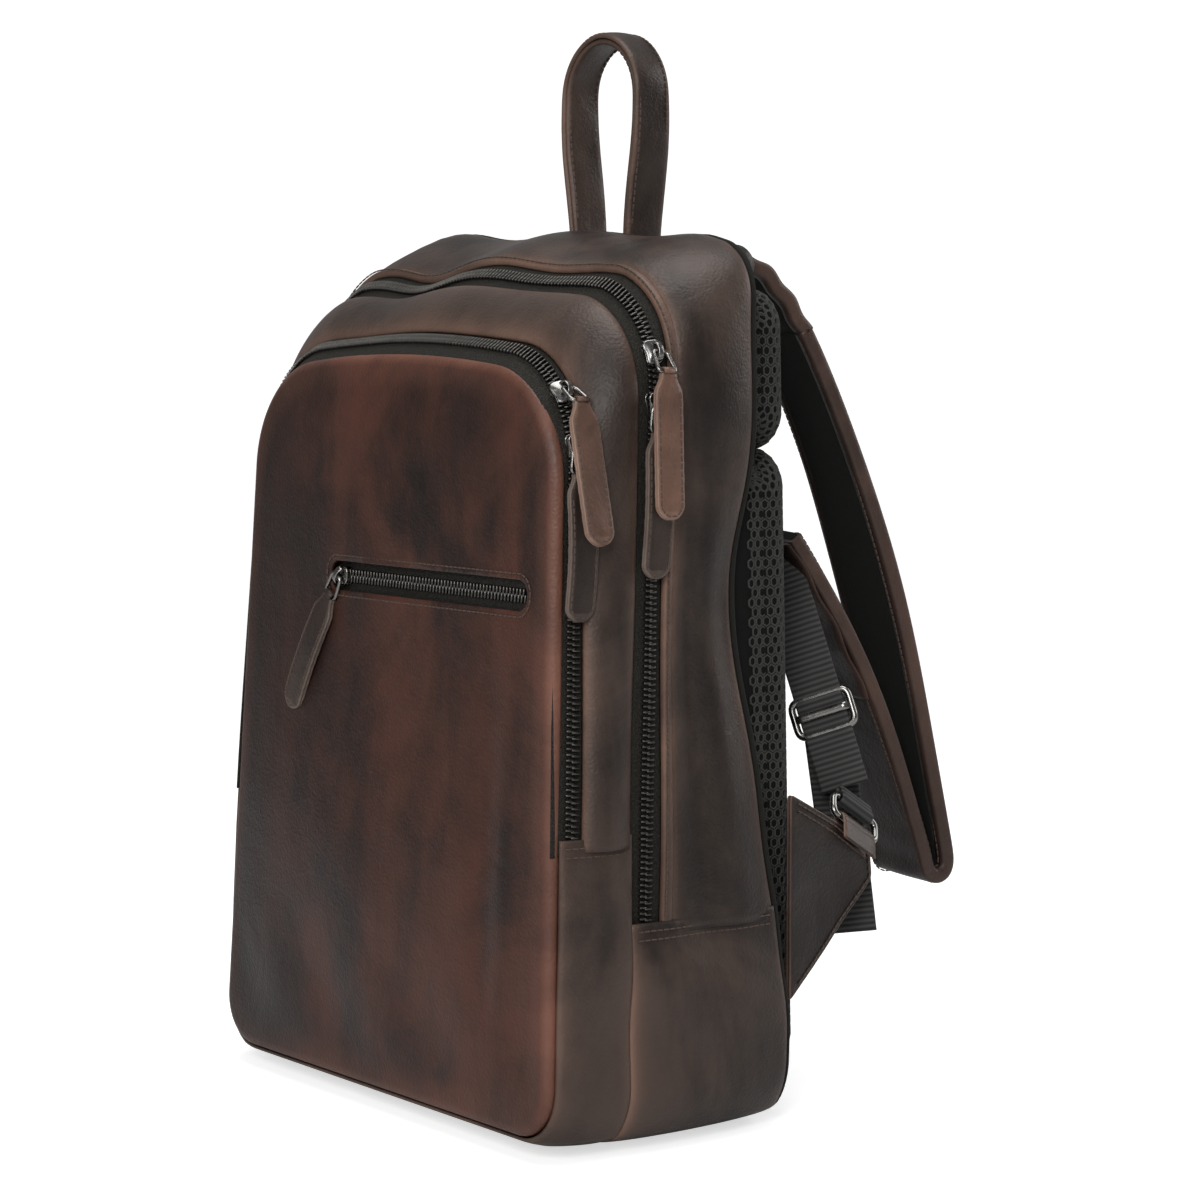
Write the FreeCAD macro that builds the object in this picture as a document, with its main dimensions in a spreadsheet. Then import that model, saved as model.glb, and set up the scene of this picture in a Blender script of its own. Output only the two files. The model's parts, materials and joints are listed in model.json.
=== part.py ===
import FreeCAD, Part
import math
import os

# Soft leather backpack.  Row frame in mm: X across the back, -Y the front pocket,
# +Y the wearer's back, +Z up, origin under the middle of the base.

V = FreeCAD.Vector
doc = FreeCAD.newDocument("leather_backpack")
sheet = doc.addObject("Spreadsheet::Sheet", "Sizes")

# ---------------------------------------------------------------- sizes
# Outline stations from front to back.  Each is a rounded outline in a plane that
# leans back by "lean" degrees: y at the base, lowest z, half width low and high,
# top z, low and high corner radius.
STATIONS = ("face", "pocket", "main", "bind", "back")
KEYS = ("y", "low", "halflow", "halfhigh", "top", "lowcorner", "highcorner", "lean")
STATION_SIZES = {
    "face": (-71.0, 12.0, 146.0, 135.0, 382.0, 25.0, 58.0, 2.7),
    "pocket": (-54.0, 6.0, 149.0, 137.0, 393.0, 28.0, 58.0, 2.6),
    "main": (-25.0, 0.0, 152.0, 145.0, 415.0, 33.0, 50.0, 2.0),
    "bind": (-7.0, 0.0, 152.0, 146.0, 426.0, 33.0, 46.0, 1.6),
    "back": (77.0, 0.0, 152.0, 146.0, 443.0, 35.0, 28.0, -1.5),
}
SIZES = {
    "corner_sweep": 84.0,
    "leather": 2.5,
    "gap": 0.3,
    "panel_thick": 2.6,
    "tape_sink": 0.8,
    "tape_thick": 1.2,
    "teeth_rise": 1.0,
    "teeth_sink": 0.5,
    "teeth_wide": 5.0,
    "pocket_seam": 153.0,
    "main_seam": 110.0,
    "bind_wide": 5.7,
    "base_proud": 0.25,
    "divider_y": -51.0,
    "divider_thick": 1.5,
    "board_thick": 3.0,
    "window_left": -51.0,
    "window_right": 118.0,
    "window_low": 261.0,
    "window_high": 276.0,
    "pad_thick": 20.0,
    "pad_half": 134.0,
    "lower_pad_low": 28.0,
    "lower_pad_high": 330.0,
    "upper_pad_low": 340.0,
    "upper_pad_high": 410.0,
    "yoke_low": 415.0,
    "yoke_high": 434.0,
    "yoke_half": 116.0,
    "yoke_thick": 29.0,
    "handle_y": 84.0,
    "handle_pivot": 447.0,
    "handle_wide": 22.0,
    "handle_thick": 5.0,
    "handle_foot": 24.0,
    "handle_half": 33.0,
    "handle_top": 547.0,
    "strap_x": 75.0,
    "strap_y": 85.0,
    "strap_wide": 50.0,
    "strap_splay": 6.0,
    "strap_skin": 2.0,
    "strap_full": 7.5,
    "webbing_wide": 25.0,
    "webbing_thick": 1.4,
    "wire_ring": 1.75,
    "ring_half": 17.0,
    "ring_pitch": 12.0,
    "tab_thick": 3.0,
    "slider_long": 11.0,
    "slider_wide": 8.4,
    "slider_low": 0.5,
    "slider_high": 3.4,
    "slider_groove": 1.8,
    "bridge_long": 3.2,
    "bridge_wide": 2.4,
    "bridge_high": 6.9,
    "pull_height": 5.4,
    "pull_wire": 0.95,
    "pull_hole": 1.0,
    "pull_half": 4.5,
    "pull_long": 12.0,
    "tab_wide": 16.0,
    "tab_deep": 3.4,
    "tab_tongue": 6.4,
    "tab_long": 70.0,
}

row = 1


def add_size(alias, value):
    global row
    sheet.set("A%d" % row, alias)
    sheet.set("B%d" % row, str(value))
    sheet.setAlias("B%d" % row, alias)
    row = row + 1


for station in STATIONS:
    for key, value in zip(KEYS, STATION_SIZES[station]):
        add_size(station + "_" + key, value)
for alias, value in SIZES.items():
    add_size(alias, value)
doc.recompute()


def size(alias):
    return float(getattr(sheet, alias))


# ---------------------------------------------------------------- helpers
helpers = []
nodes = []


def feature(kind, name):
    made = doc.addObject(kind, name)
    helpers.append(made)
    return made


def node(made, label):
    made.Label = label
    nodes.append(made)
    return made


def station_at(y):
    """Outline sizes at base depth y, linear between the stations."""
    ys = [size(name + "_y") for name in STATIONS]
    place = 0
    while place < len(ys) - 2 and y > ys[place + 1]:
        place = place + 1
    share = (y - ys[place]) / (ys[place + 1] - ys[place])
    result = {}
    for key in KEYS:
        low = size(STATIONS[place] + "_" + key)
        high = size(STATIONS[place + 1] + "_" + key)
        result[key] = low + share * (high - low)
    return result


def high_corner(sizes):
    """Side height where the top corner starts, with the crown's radius."""
    sweep = math.radians(size("corner_sweep"))
    radius = sizes["highcorner"]
    crown = (sizes["halfhigh"] - radius + radius * math.cos(sweep)) / math.cos(sweep)
    rise = radius * math.sin(sweep) + crown * (1.0 - math.sin(sweep))
    return sizes["top"] - rise, crown


def lean_point(sizes, x, z):
    lean = math.radians(sizes["lean"])
    return V(x, sizes["y"] + z * math.sin(lean), z * math.cos(lean))


def outline(y, offset):
    """Closed wire of the bag's outline at depth y, moved outward by offset."""
    sizes = station_at(y)
    side, crown = high_corner(sizes)
    sweep = math.radians(size("corner_sweep"))
    low_r = sizes["lowcorner"] + offset
    high_r = sizes["highcorner"] + offset
    low_x = sizes["halflow"] - sizes["lowcorner"]
    low_z = sizes["low"] + sizes["lowcorner"]
    high_x = sizes["halfhigh"] - sizes["highcorner"]
    crown_r = crown + offset
    crown_z = sizes["top"] - crown

    def point(x, z):
        return lean_point(sizes, x, z)

    def arc(cx, cz, radius, start, end):
        angles = (start, 0.5 * (start + end), end)
        spots = [point(cx + radius * math.cos(a), cz + radius * math.sin(a)) for a in angles]
        return Part.Arc(spots[0], spots[1], spots[2]).toShape()

    quarter = math.pi / 2
    edges = [
        Part.makeLine(point(-low_x, low_z - low_r), point(low_x, low_z - low_r)),
        arc(low_x, low_z, low_r, -quarter, 0.0),
        Part.makeLine(point(low_x + low_r, low_z), point(high_x + high_r, side)),
        arc(high_x, side, high_r, 0.0, sweep),
        arc(0.0, crown_z, crown_r, sweep, math.pi - sweep),
        arc(-high_x, side, high_r, math.pi - sweep, math.pi),
        Part.makeLine(point(-high_x - high_r, side), point(-low_x - low_r, low_z)),
        arc(-low_x, low_z, low_r, math.pi, 3 * quarter),
    ]
    return Part.Wire(edges)


def outline_feature(name, y, offset, shift=0.0):
    made = feature("Part::Feature", name)
    made.Shape = outline(y, offset)
    made.Placement = FreeCAD.Placement(V(0, shift, 0), FreeCAD.Rotation())
    return made


def loft(name, sections):
    made = feature("Part::Loft", name)
    made.Sections = sections
    made.Solid = True
    made.Ruled = True
    return made


def depths(start, end):
    inside = [size(s + "_y") for s in STATIONS if start + 0.5 < size(s + "_y") < end - 0.5]
    return [start] + inside + [end]


def plate(name, start, end, offset):
    sections = []
    for index, y in enumerate(depths(start, end)):
        sections.append(outline_feature("%s_line%d" % (name, index), y, offset))
    return loft(name + "_plate", sections)


def shell(name, start, end, outer, inner):
    """Wall that follows the outline from one depth to the next."""
    whole = plate(name + "_outer", start, end, outer)
    stops = depths(start, end)
    sections = [outline_feature(name + "_in_first", start, inner, -2.0)]
    for index, y in enumerate(stops):
        sections.append(outline_feature("%s_in%d" % (name, index), y, inner))
    sections.append(outline_feature(name + "_in_last", end, inner, 2.0))
    hollow = loft(name + "_hollow", sections)
    made = feature("Part::Cut", name + "_wall")
    made.Base = whole
    made.Tool = hollow
    return made


def slab(name, low, high):
    """Box over the whole bag between two heights, each a sheet expression."""
    made = feature("Part::Box", name)
    made.Length = 400
    made.Width = 400
    made.setExpression("Height", "(%s) - (%s)" % (high, low))
    made.setExpression("Placement.Base.z", low)
    made.Placement.Base = V(-200, -200, 0)
    return made


def keep(name, base, tool):
    made = feature("Part::Common", name)
    made.Base = base
    made.Tool = tool
    return made


def cut(name, base, tool):
    made = feature("Part::Cut", name)
    made.Base = base
    made.Tool = tool
    return made


def fuse(name, shapes, refine=True):
    made = feature("Part::MultiFuse", name)
    made.Shapes = shapes
    made.Refine = refine
    return made


def polygon(name, points):
    made = feature("Part::Feature", name)
    closed = list(points) + [points[0]]
    made.Shape = Part.makePolygon(closed)
    return made


def prism(name, points, direction, forward, backward):
    """Solid from a flat polygon pulled both ways along a direction."""
    made = feature("Part::Extrusion", name)
    made.Base = polygon(name + "_profile", points)
    made.DirMode = "Custom"
    made.Dir = direction
    made.LengthFwd = forward
    made.LengthRev = backward
    made.Solid = True
    return made


def brick(name, origin, axes, spans):
    """Box along three given directions; spans are (low, high) along each."""
    first, second, third = axes
    corners = []
    for a, b in ((0, 0), (1, 0), (1, 1), (0, 1)):
        corners.append(origin + first * spans[0][a] + second * spans[1][b] + third * spans[2][0])
    return prism(name, corners, third, spans[2][1] - spans[2][0], 0.0)


def rod(name, start, end, radius):
    made = feature("Part::Cylinder", name)
    made.Radius = radius
    made.Height = (end - start).Length
    made.Placement = FreeCAD.Placement(start, FreeCAD.Rotation(V(0, 0, 1), end - start))
    return made


def ball(name, centre, radius):
    made = feature("Part::Sphere", name)
    made.Radius = radius
    made.Placement = FreeCAD.Placement(centre, FreeCAD.Rotation())
    return made


def wire_frame(name, corners, radius):
    """Closed frame of round wire through four corners."""
    shapes = []
    for index in range(4):
        start = corners[index]
        end = corners[(index + 1) % 4]
        shapes.append(rod("%s_rod%d" % (name, index), start, end, radius))
        shapes.append(ball("%s_ball%d" % (name, index), start, radius + 0.04))
    return fuse(name, shapes, False)


def unit(vector):
    result = V(vector)
    result.normalize()
    return result


# ---------------------------------------------------------------- front pocket
face_y = size("face_y")
pocket_y = size("pocket_y")
main_y = size("main_y")
bind_y = size("bind_y")
back_y = size("back_y")
gap = size("gap")
leather = size("leather")
panel_end = face_y + size("panel_thick")

face = station_at(face_y)
lean = math.radians(face["lean"])
up_face = V(0, math.sin(lean), math.cos(lean))
out_face = V(0, -math.cos(lean), math.sin(lean))
across = V(1, 0, 0)
face_origin = V(0, face_y, 0)
window_axes = (across, up_face, out_face)
window_spans = (
    (size("window_left"), size("window_right")),
    (size("window_low"), size("window_high")),
)
window_hole = brick("window_hole", face_origin, window_axes, window_spans + ((-10.0, 10.0),))
front_panel = cut("front_panel_cut", plate("front_panel", face_y, panel_end, 0.0), window_hole)
node(front_panel, "front_panel")

tape_top = -size("panel_thick") - gap
tape_low = tape_top - 1.0
window_tape = brick(
    "window_tape_brick", face_origin, window_axes,
    ((size("window_left") - 8.0, size("window_right") + 8.0),
     (size("window_low") - 8.0, size("window_high") + 8.0), (tape_low, tape_top)))
node(window_tape, "window_zip_tape")
window_mid = 0.5 * (size("window_low") + size("window_high"))
half_teeth = 0.5 * size("teeth_wide")
window_teeth = brick(
    "window_teeth_brick", face_origin, window_axes,
    ((size("window_left") + 1.0, size("window_right") - 1.0),
     (window_mid - half_teeth, window_mid + half_teeth), (tape_top + 0.1, tape_top + 1.8)))
node(window_teeth, "window_zip_teeth")
window_pouch = brick(
    "window_pouch_brick", face_origin, window_axes,
    ((size("window_left") - 8.0, size("window_right") + 8.0),
     (size("window_low") - 110.0, size("window_high") + 6.0), (tape_low - 3.3, tape_low - gap)))
node(window_pouch, "window_pouch")

# ---------------------------------------------------------------- side walls, tapes and teeth
def ref(alias):
    """Sheet cell as an expression name."""
    return "Sizes." + alias


def arch_wall(label, start, end, outer, inner, seam_alias, lift):
    wall = shell(label, start, end, outer, inner)
    low = "%s + %s" % (ref(seam_alias), lift)
    above = slab(label + "_above", low, "600")
    return node(keep(label + "_arch", wall, above), label)


def base_wall(label, start, end, outer, inner, seam_alias):
    wall = shell(label, start, end, outer, inner)
    below = slab(label + "_below", "0", ref(seam_alias))
    return node(keep(label + "_wrap", wall, below), label)


sink = size("tape_sink")
tape_in = -sink - size("tape_thick")
rise = size("teeth_rise")
teeth_in = -size("teeth_sink")
pocket_teeth_y = pocket_y - 5.6
main_teeth_y = 0.5 * (main_y + bind_y)
bind_end = bind_y + size("bind_wide")
wall_end = back_y - size("board_thick") - gap

arch_wall("pocket_zip_tape", panel_end + gap, pocket_y - gap, -sink, tape_in, "pocket_seam", 0.3)
arch_wall("pocket_zip_teeth", pocket_teeth_y - half_teeth, pocket_teeth_y + half_teeth,
          rise, teeth_in, "pocket_seam", 3.0)
arch_wall("middle_gusset", pocket_y, main_y - gap, 0.0, -leather, "pocket_seam", 0.3)
base_wall("front_base", panel_end + gap, main_y - gap, size("base_proud"), -leather, "pocket_seam")
arch_wall("main_zip_tape", main_y, bind_y - gap, -sink, tape_in, "main_seam", 0.3)
arch_wall("main_zip_teeth", main_teeth_y - half_teeth, main_teeth_y + half_teeth,
          rise, teeth_in, "main_seam", 3.0)
arch_wall("main_zip_binding", bind_y, bind_end, 1.0, -leather, "main_seam", 0.3)
arch_wall("rear_gusset", bind_end + gap, wall_end, 0.0, -leather, "main_seam", 0.3)
base_wall("rear_base", main_y, wall_end, size("base_proud"), -leather, "main_seam")

divider_y = size("divider_y")
divider_end = divider_y + size("divider_thick")
node(plate("pocket_divider", divider_y, divider_end, -leather - gap), "pocket_divider")
node(plate("back_board", wall_end + gap, back_y, 0.0), "back_board")

# ---------------------------------------------------------------- back pads and yoke
back = station_at(back_y)
back_lean = math.radians(back["lean"])
up_back = V(0, math.sin(back_lean), math.cos(back_lean))
out_back = V(0, math.cos(back_lean), -math.sin(back_lean))
back_origin = V(0, back_y, 0)


def cushion(label, half, low, high, thick, bevel):
    """Pad with bevelled edges, standing on the back board."""
    sections = []
    steps = ((gap, 0.0), (thick - bevel, 0.0), (thick, bevel))
    for index, (height, inset) in enumerate(steps):
        points = []
        for side_x, side_z in ((-1, 0), (1, 0), (1, 1), (-1, 1)):
            x = side_x * (half - inset)
            z = high - inset if side_z else low + inset
            points.append(back_origin + across * x + up_back * z + out_back * height)
        sections.append(polygon("%s_ring%d" % (label, index), points))
    return loft(label + "_loft", sections)


node(cushion("back_pad_lower", size("pad_half"), size("lower_pad_low"), size("lower_pad_high"),
             size("pad_thick"), 9.0), "back_pad_lower")
node(cushion("back_pad_upper", size("pad_half"), size("upper_pad_low"), size("upper_pad_high"),
             size("pad_thick"), 9.0), "back_pad_upper")
yoke = cushion("back_yoke", size("yoke_half"), size("yoke_low"), size("yoke_high"),
               size("yoke_thick"), 4.0)

# ---------------------------------------------------------------- handle
handle_y = size("handle_y")
pivot_z = size("handle_pivot")
foot = size("handle_foot")
half_loop = size("handle_half")
top_z = size("handle_top")
half_wide = 0.5 * size("handle_wide")
bend_z = top_z - half_loop


def loop_line(inset):
    """Outer or inner line of the handle loop, from one foot to the other."""
    foot_x = foot - inset
    loop_x = half_loop - inset
    points = [(foot_x, pivot_z - half_wide - 0.2), (foot_x + 1.0, pivot_z + 12.0)]
    points.append((loop_x - 1.0, bend_z - 26.0))
    for index in range(9):
        angle = math.pi * index / 8.0
        points.append((loop_x * math.cos(angle), bend_z + loop_x * math.sin(angle)))
    points.append((-loop_x + 1.0, bend_z - 26.0))
    points.append((-foot_x - 1.0, pivot_z + 12.0))
    points.append((-foot_x, pivot_z - half_wide - 0.2))
    return points


def handle_band(label, outer, inner):
    line = loop_line(outer) + loop_line(inner)[::-1]
    points = [V(x, handle_y, z) for x, z in line]
    band = prism(label + "_band", points, V(0, 1, 0), half_wide, half_wide)
    root = rod(label + "_root", V(-60, handle_y, pivot_z), V(60, handle_y, pivot_z), half_wide)
    upper = brick(label + "_upper", V(0, handle_y, pivot_z), (across, V(0, 1, 0), V(0, 0, 1)),
                  ((-60, 60), (-half_wide, half_wide), (0, 150)))
    shape = fuse(label + "_envelope", [root, upper])
    return node(keep(label + "_keep", band, shape), label)


handle_band("handle_outer", 0.0, 2.4)
handle_band("handle_lining", 2.6, size("handle_thick"))

# ---------------------------------------------------------------- shoulder straps
splay = math.radians(size("strap_splay"))
strap_y = size("strap_y")
half_strap = 0.5 * size("strap_wide")
skin = size("strap_skin")
full = size("strap_full")


def bezier(points, steps):
    line = []
    for index in range(steps + 1):
        t = index / float(steps)
        a = (1 - t) ** 3
        b = 3 * t * (1 - t) ** 2
        c = 3 * t * t * (1 - t)
        d = t ** 3
        s = a * points[0][0] + b * points[1][0] + c * points[2][0] + d * points[3][0]
        z = a * points[0][1] + b * points[1][1] + c * points[2][1] + d * points[3][1]
        line.append((s, z))
    return line


def strap_line():
    """Leather face of the strap: out from the yoke, down, round a fold, up again."""
    down = bezier(((10, 431), (48, 425), (110, 290), (142, 115)), 9)
    fold = []
    for index in range(1, 8):
        angle = math.radians(8.0 - 188.0 * index / 8.0)
        fold.append((131.5 + 10.5 * math.cos(angle), 112 + 10.5 * math.sin(angle)))
    back_up = bezier(((121, 114), (108, 150), (88, 215), (36, 286)), 8)
    return down + fold + back_up


def side_line(line, offset):
    """The line moved toward the inside of the fold."""
    result = []
    last = len(line) - 1
    for index, (s, z) in enumerate(line):
        before = line[max(index - 1, 0)]
        after = line[min(index + 1, last)]
        ds = after[0] - before[0]
        dz = after[1] - before[1]
        length = math.hypot(ds, dz)
        result.append((s + offset * dz / length, z - offset * ds / length))
    return result


def strap_frame(side):
    along = V(side * math.sin(splay), math.cos(splay), 0)
    width = V(side * math.cos(splay), -math.sin(splay), 0)
    origin = V(side * size("strap_x"), strap_y, 0)
    return origin, along, width


def strap_layer(name, side, line, low, high):
    origin, along, width = strap_frame(side)
    first = side_line(line, low)
    second = side_line(line, high)
    points = [origin + along * s + V(0, 0, z) for s, z in first + second[::-1]]
    return prism(name, points, width, half_strap, half_strap)


# Anchor line of each strap: from the webbing just above the ring to the strap top.
ring_seat = V(142.5, 127.0, 143.5)
ring_along = unit(V(-0.02, 0.84, -0.54))
web_low = V(137.0, 130.0, 152.0)
web_high = V(84.5, 121.0, 283.0)
anchor_low = V(135.0, 129.7, 160.0)
anchor_high = V(78.0, 111.0, 414.0)


def mirror(vector, side):
    return V(vector.x * side, vector.y, vector.z)


for side_name, side in (("right", 1), ("left", -1)):
    tag = side_name
    swing = unit(mirror(anchor_high - anchor_low, side))
    line = strap_line()
    leather_all = strap_layer("strap_leather_all_" + tag, side, line, 0.0, skin)
    lining_all = strap_layer("strap_lining_all_" + tag, side, line, skin + 0.2, full)
    flat_one = unit(swing.cross(V(0, 1, 0)))
    flat_two = unit(swing.cross(flat_one))
    cap_axes = (flat_one, flat_two, swing)
    cap_low = mirror(anchor_high, side)
    above = brick("strap_cap_" + tag, cap_low, cap_axes, ((-90, 90), (-90, 90), (0.0, 80.0)))
    below = brick("strap_body_" + tag, cap_low, cap_axes, ((-290, 290), (-290, 290), (-420.0, -0.6)))
    node(keep("root_leather_" + tag, leather_all, above), "strap_root_" + tag)
    node(keep("root_lining_" + tag, lining_all, above), "strap_root_lining_" + tag)
    root_room = strap_layer("root_room_" + tag, side, line, -0.3, full + 0.3)
    yoke = cut("yoke_cleared_" + tag, yoke, root_room)
    node(keep("strap_leather_keep_" + tag, leather_all, below), "strap_leather_" + tag)
    node(keep("strap_lining_keep_" + tag, lining_all, below), "strap_lining_" + tag)
    end_line = line[-4:]
    end_cover = strap_layer("strap_end_" + tag + "_layer", side, end_line, -1.9, -0.2)
    node(end_cover, "strap_end_" + tag)

    # webbing from the strap's end to just above the ring
    start = mirror(web_low, side)
    stop = mirror(web_high, side)
    direction = unit(stop - start)
    facing = V(side * 0.8, 0.6, 0)
    web_width = unit(facing - direction * facing.dot(direction))
    web_out = unit(direction.cross(web_width)) * side
    web_axes = (web_width, web_out, direction)
    half_web = 0.5 * size("webbing_wide")
    half_thin = 0.5 * size("webbing_thick")
    web_long = (stop - start).Length
    webbing = brick("webbing_all_" + tag, start, web_axes,
                    ((-half_web, half_web), (-half_thin, half_thin), (12.0, web_long)))
    end_room = strap_layer("strap_end_room_" + tag, side, end_line, -2.2, 30.0)
    node(cut("webbing_cut_" + tag, webbing, end_room), "webbing_" + tag)

    # tri-glide adjuster: two rails, outer bars on one face and a middle bar on the other
    glide = start + direction * 51.0
    pieces = []
    for name, w_low, w_high in (("a", 13.6, 16.8), ("b", -16.8, -13.6)):
        pieces.append(brick("glide_rail_%s_%s" % (name, tag), glide, web_axes,
                            ((w_low, w_high), (-3.0, 3.0), (-11.0, 11.0))))
    for name, d_low, d_high, o_low, o_high in (
            ("low", -11.0, -7.0, 1.1, 3.0), ("high", 7.0, 11.0, 1.1, 3.0), ("mid", -2.0, 2.0, -3.0, -1.1)):
        pieces.append(brick("glide_bar_%s_%s" % (name, tag), glide, web_axes,
                            ((-16.8, 16.8), (o_low, o_high), (d_low, d_high))))
    node(fuse("glide_" + tag, pieces), "adjuster_" + tag)
    tail_down = unit(V(side * 0.05, 0.13, -1.0))
    tail_width = unit(web_width - tail_down * web_width.dot(tail_down))
    tail_out = unit(tail_down.cross(tail_width))
    tail = brick("tail_brick_" + tag, glide + web_out * 5.0 + V(0, 0, 4.0),
                 (tail_width, tail_out, tail_down),
                 ((-half_web, half_web), (-half_thin, half_thin), (0.0, 118.0)))
    node(tail, "webbing_tail_" + tag)

    # ring held in a leather loop on the side tab
    seat = mirror(ring_seat, side)
    bar = unit(mirror(ring_along, side))
    pull_way = unit(start - seat)
    lift = unit(pull_way - bar * pull_way.dot(bar))
    ring_half = size("ring_half")
    ring_wire = size("wire_ring")
    far = lift * size("ring_pitch")
    corners = [seat - bar * ring_half, seat + bar * ring_half,
               seat + bar * ring_half + far, seat - bar * ring_half + far]
    node(wire_frame("ring_frame_" + tag, corners, ring_wire), "ring_" + tag)
    ring_out = unit(bar.cross(lift))
    fold_out = rod("fold_out_" + tag, seat + far - bar * half_web, seat + far + bar * half_web, 3.4)
    fold_in = rod("fold_in_" + tag, seat + far - bar * 14, seat + far + bar * 14, ring_wire + 0.08)
    tongue = brick("fold_tongue_" + tag, seat + far, (bar, ring_out, lift),
                   ((-half_web, half_web), (-1.6, 1.6), (2.0, 6.6)))
    fold_all = fuse("fold_all_" + tag, [fold_out, tongue])
    node(cut("fold_" + tag, fold_all, fold_in), "webbing_fold_" + tag)

    # side tab sewn into the back seam, with the loop that holds the ring
    tab_low = mirror(V(149.0, 78.0, 62.0), side)
    tab_high = mirror(V(149.0, 78.0, 166.0), side)
    tab_tip = seat + bar * 16.0 - lift * 5.2
    tab_tip_low = mirror(V(142.0, 139.5, 117.0), side)
    tab_edge = seat - bar * 16.0 - lift * 5.2
    points = [tab_low, tab_tip_low, tab_tip, tab_edge, tab_high]
    flat = unit((tab_tip_low - tab_low).cross(tab_high - tab_low))
    level = [p - flat * (p - tab_low).dot(flat) for p in points]
    half_tab = 0.5 * size("tab_thick")
    tab = prism("side_tab_prism_" + tag, level, flat, half_tab, half_tab)
    sleeve_out = rod("loop_out_" + tag, seat - bar * 12.5, seat + bar * 12.5, 3.9)
    sleeve_in = rod("loop_in_" + tag, seat - bar * 14, seat + bar * 14, ring_wire + 0.08)
    skirt = brick("loop_skirt_" + tag, seat, (bar, flat, lift), ((-12.5, 12.5), (-3.2, 3.2), (-9.0, -2.0)))
    sleeve_all = fuse("loop_all_" + tag, [sleeve_out, skirt])
    loop = cut("loop_bored_" + tag, sleeve_all, sleeve_in)
    tab_space = prism("tab_space_" + tag, level, flat, half_tab + 0.2, half_tab + 0.2)
    cleared = cut("loop_cleared_" + tag, loop, tab_space)
    tab_room = rod("tab_bore_" + tag, seat - bar * 22, seat + bar * 22, 4.2)
    node(cut("side_tab_cut_" + tag, tab, tab_room), "side_tab_" + tag)
    node(cleared, "ring_loop_" + tag)


node(yoke, "back_yoke")
print("ANCHORS", anchor_low, anchor_high, "WEB", web_low, web_high, "BAR", ring_seat, ring_along)


# ---------------------------------------------------------------- zip sliders and pulls
def slider_set(tag, spot, track, rise, axis, link_way, pull_way, tilt=0.0, lift=0.0):
    """Slider on the teeth line, wire link on its bridge and leather pull on the link.

    track is (across, along, outward); axis is the hinge line of link and pull; the
    block is tilted to the slope of the tape, and lift raises the hinge line."""
    out = track[2]
    angle = math.radians(tilt)
    tape_wide = track[0] * math.cos(angle) + out * math.sin(angle)
    tape_out = out * math.cos(angle) - track[0] * math.sin(angle)
    tape_axes = (tape_wide, track[1], tape_out)
    half_w = 0.5 * size("slider_wide")
    half_l = 0.5 * size("slider_long")
    low = size("slider_low") + rise
    high = size("slider_high") + rise
    hole = size("pull_hole")
    half_b = 0.5 * size("bridge_wide")
    half_bl = 0.5 * size("bridge_long")
    pin = spot + out * (size("pull_height") + rise + lift)
    block = brick(tag + "_block", spot, tape_axes, ((-half_w, half_w), (-half_l, half_l), (low, high)))
    groove = brick(tag + "_groove", spot, tape_axes,
                   ((-3.45, 3.45), (-9.0, 9.0), (low - 2.0, size("slider_groove") + rise)))
    bridge_way = unit(axis.cross(out))
    bridge = brick(tag + "_bridge", spot, (axis, bridge_way, out),
                   ((-half_b, half_b), (-half_bl, half_bl), (high - 1.2, size("bridge_high") + rise + lift)))
    eye = rod(tag + "_eye", pin - axis * 6, pin + axis * 6, hole)
    body = cut(tag + "_grooved", fuse(tag + "_body", [block, bridge]), groove)
    node(cut(tag + "_bored", body, eye), tag + "_slider")

    half_p = size("pull_half")
    reach = link_way * size("pull_long")
    corners = [pin - axis * half_p, pin + axis * half_p, pin + axis * half_p + reach, pin - axis * half_p + reach]
    node(wire_frame(tag + "_link_frame", corners, size("pull_wire")), tag + "_link")

    knot = pin + reach
    face_out = unit(axis.cross(pull_way))
    if face_out.dot(out) < 0:
        face_out = face_out * -1.0
    pull_axes = (axis, pull_way, face_out)
    half_deep = 0.5 * size("tab_deep")
    half_tongue = 0.5 * size("tab_tongue")
    half_leaf = 0.5 * size("tab_wide")
    end = size("tab_long") - half_leaf
    tongue = brick(tag + "_tongue", knot, pull_axes,
                   ((-half_tongue, half_tongue), (-2.2, 5.0), (-half_deep, half_deep)))
    leaf = brick(tag + "_leaf", knot, pull_axes,
                 ((-half_leaf, half_leaf), (3.4, end), (-half_deep, half_deep)))
    tip = rod(tag + "_tip", knot + pull_way * end - face_out * half_deep,
              knot + pull_way * end + face_out * half_deep, half_leaf)
    bore = rod(tag + "_bore", knot - axis * 6, knot + axis * 6, hole)
    node(cut(tag + "_pull_cut", fuse(tag + "_leather", [tongue, leaf, tip]), bore), tag + "_pull")
    print("JOINT", tag, "pin", [round(c, 3) for c in pin], "knot", [round(c, 3) for c in knot],
          "axis", [round(c, 5) for c in axis], "along", [round(c, 5) for c in track[1]])


def run_line(sizes):
    """Lower and upper end of the straight side of the outline."""
    side, crown = high_corner(sizes)
    low_z = sizes["low"] + sizes["lowcorner"]
    return lean_point(sizes, sizes["halflow"], low_z), lean_point(sizes, sizes["halfhigh"], side)


def corner_point(sizes, degrees):
    side, crown = high_corner(sizes)
    angle = math.radians(degrees)
    radius = sizes["highcorner"]
    x = sizes["halfhigh"] - radius + radius * math.cos(angle)
    return lean_point(sizes, x, side + radius * math.sin(angle))


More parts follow.
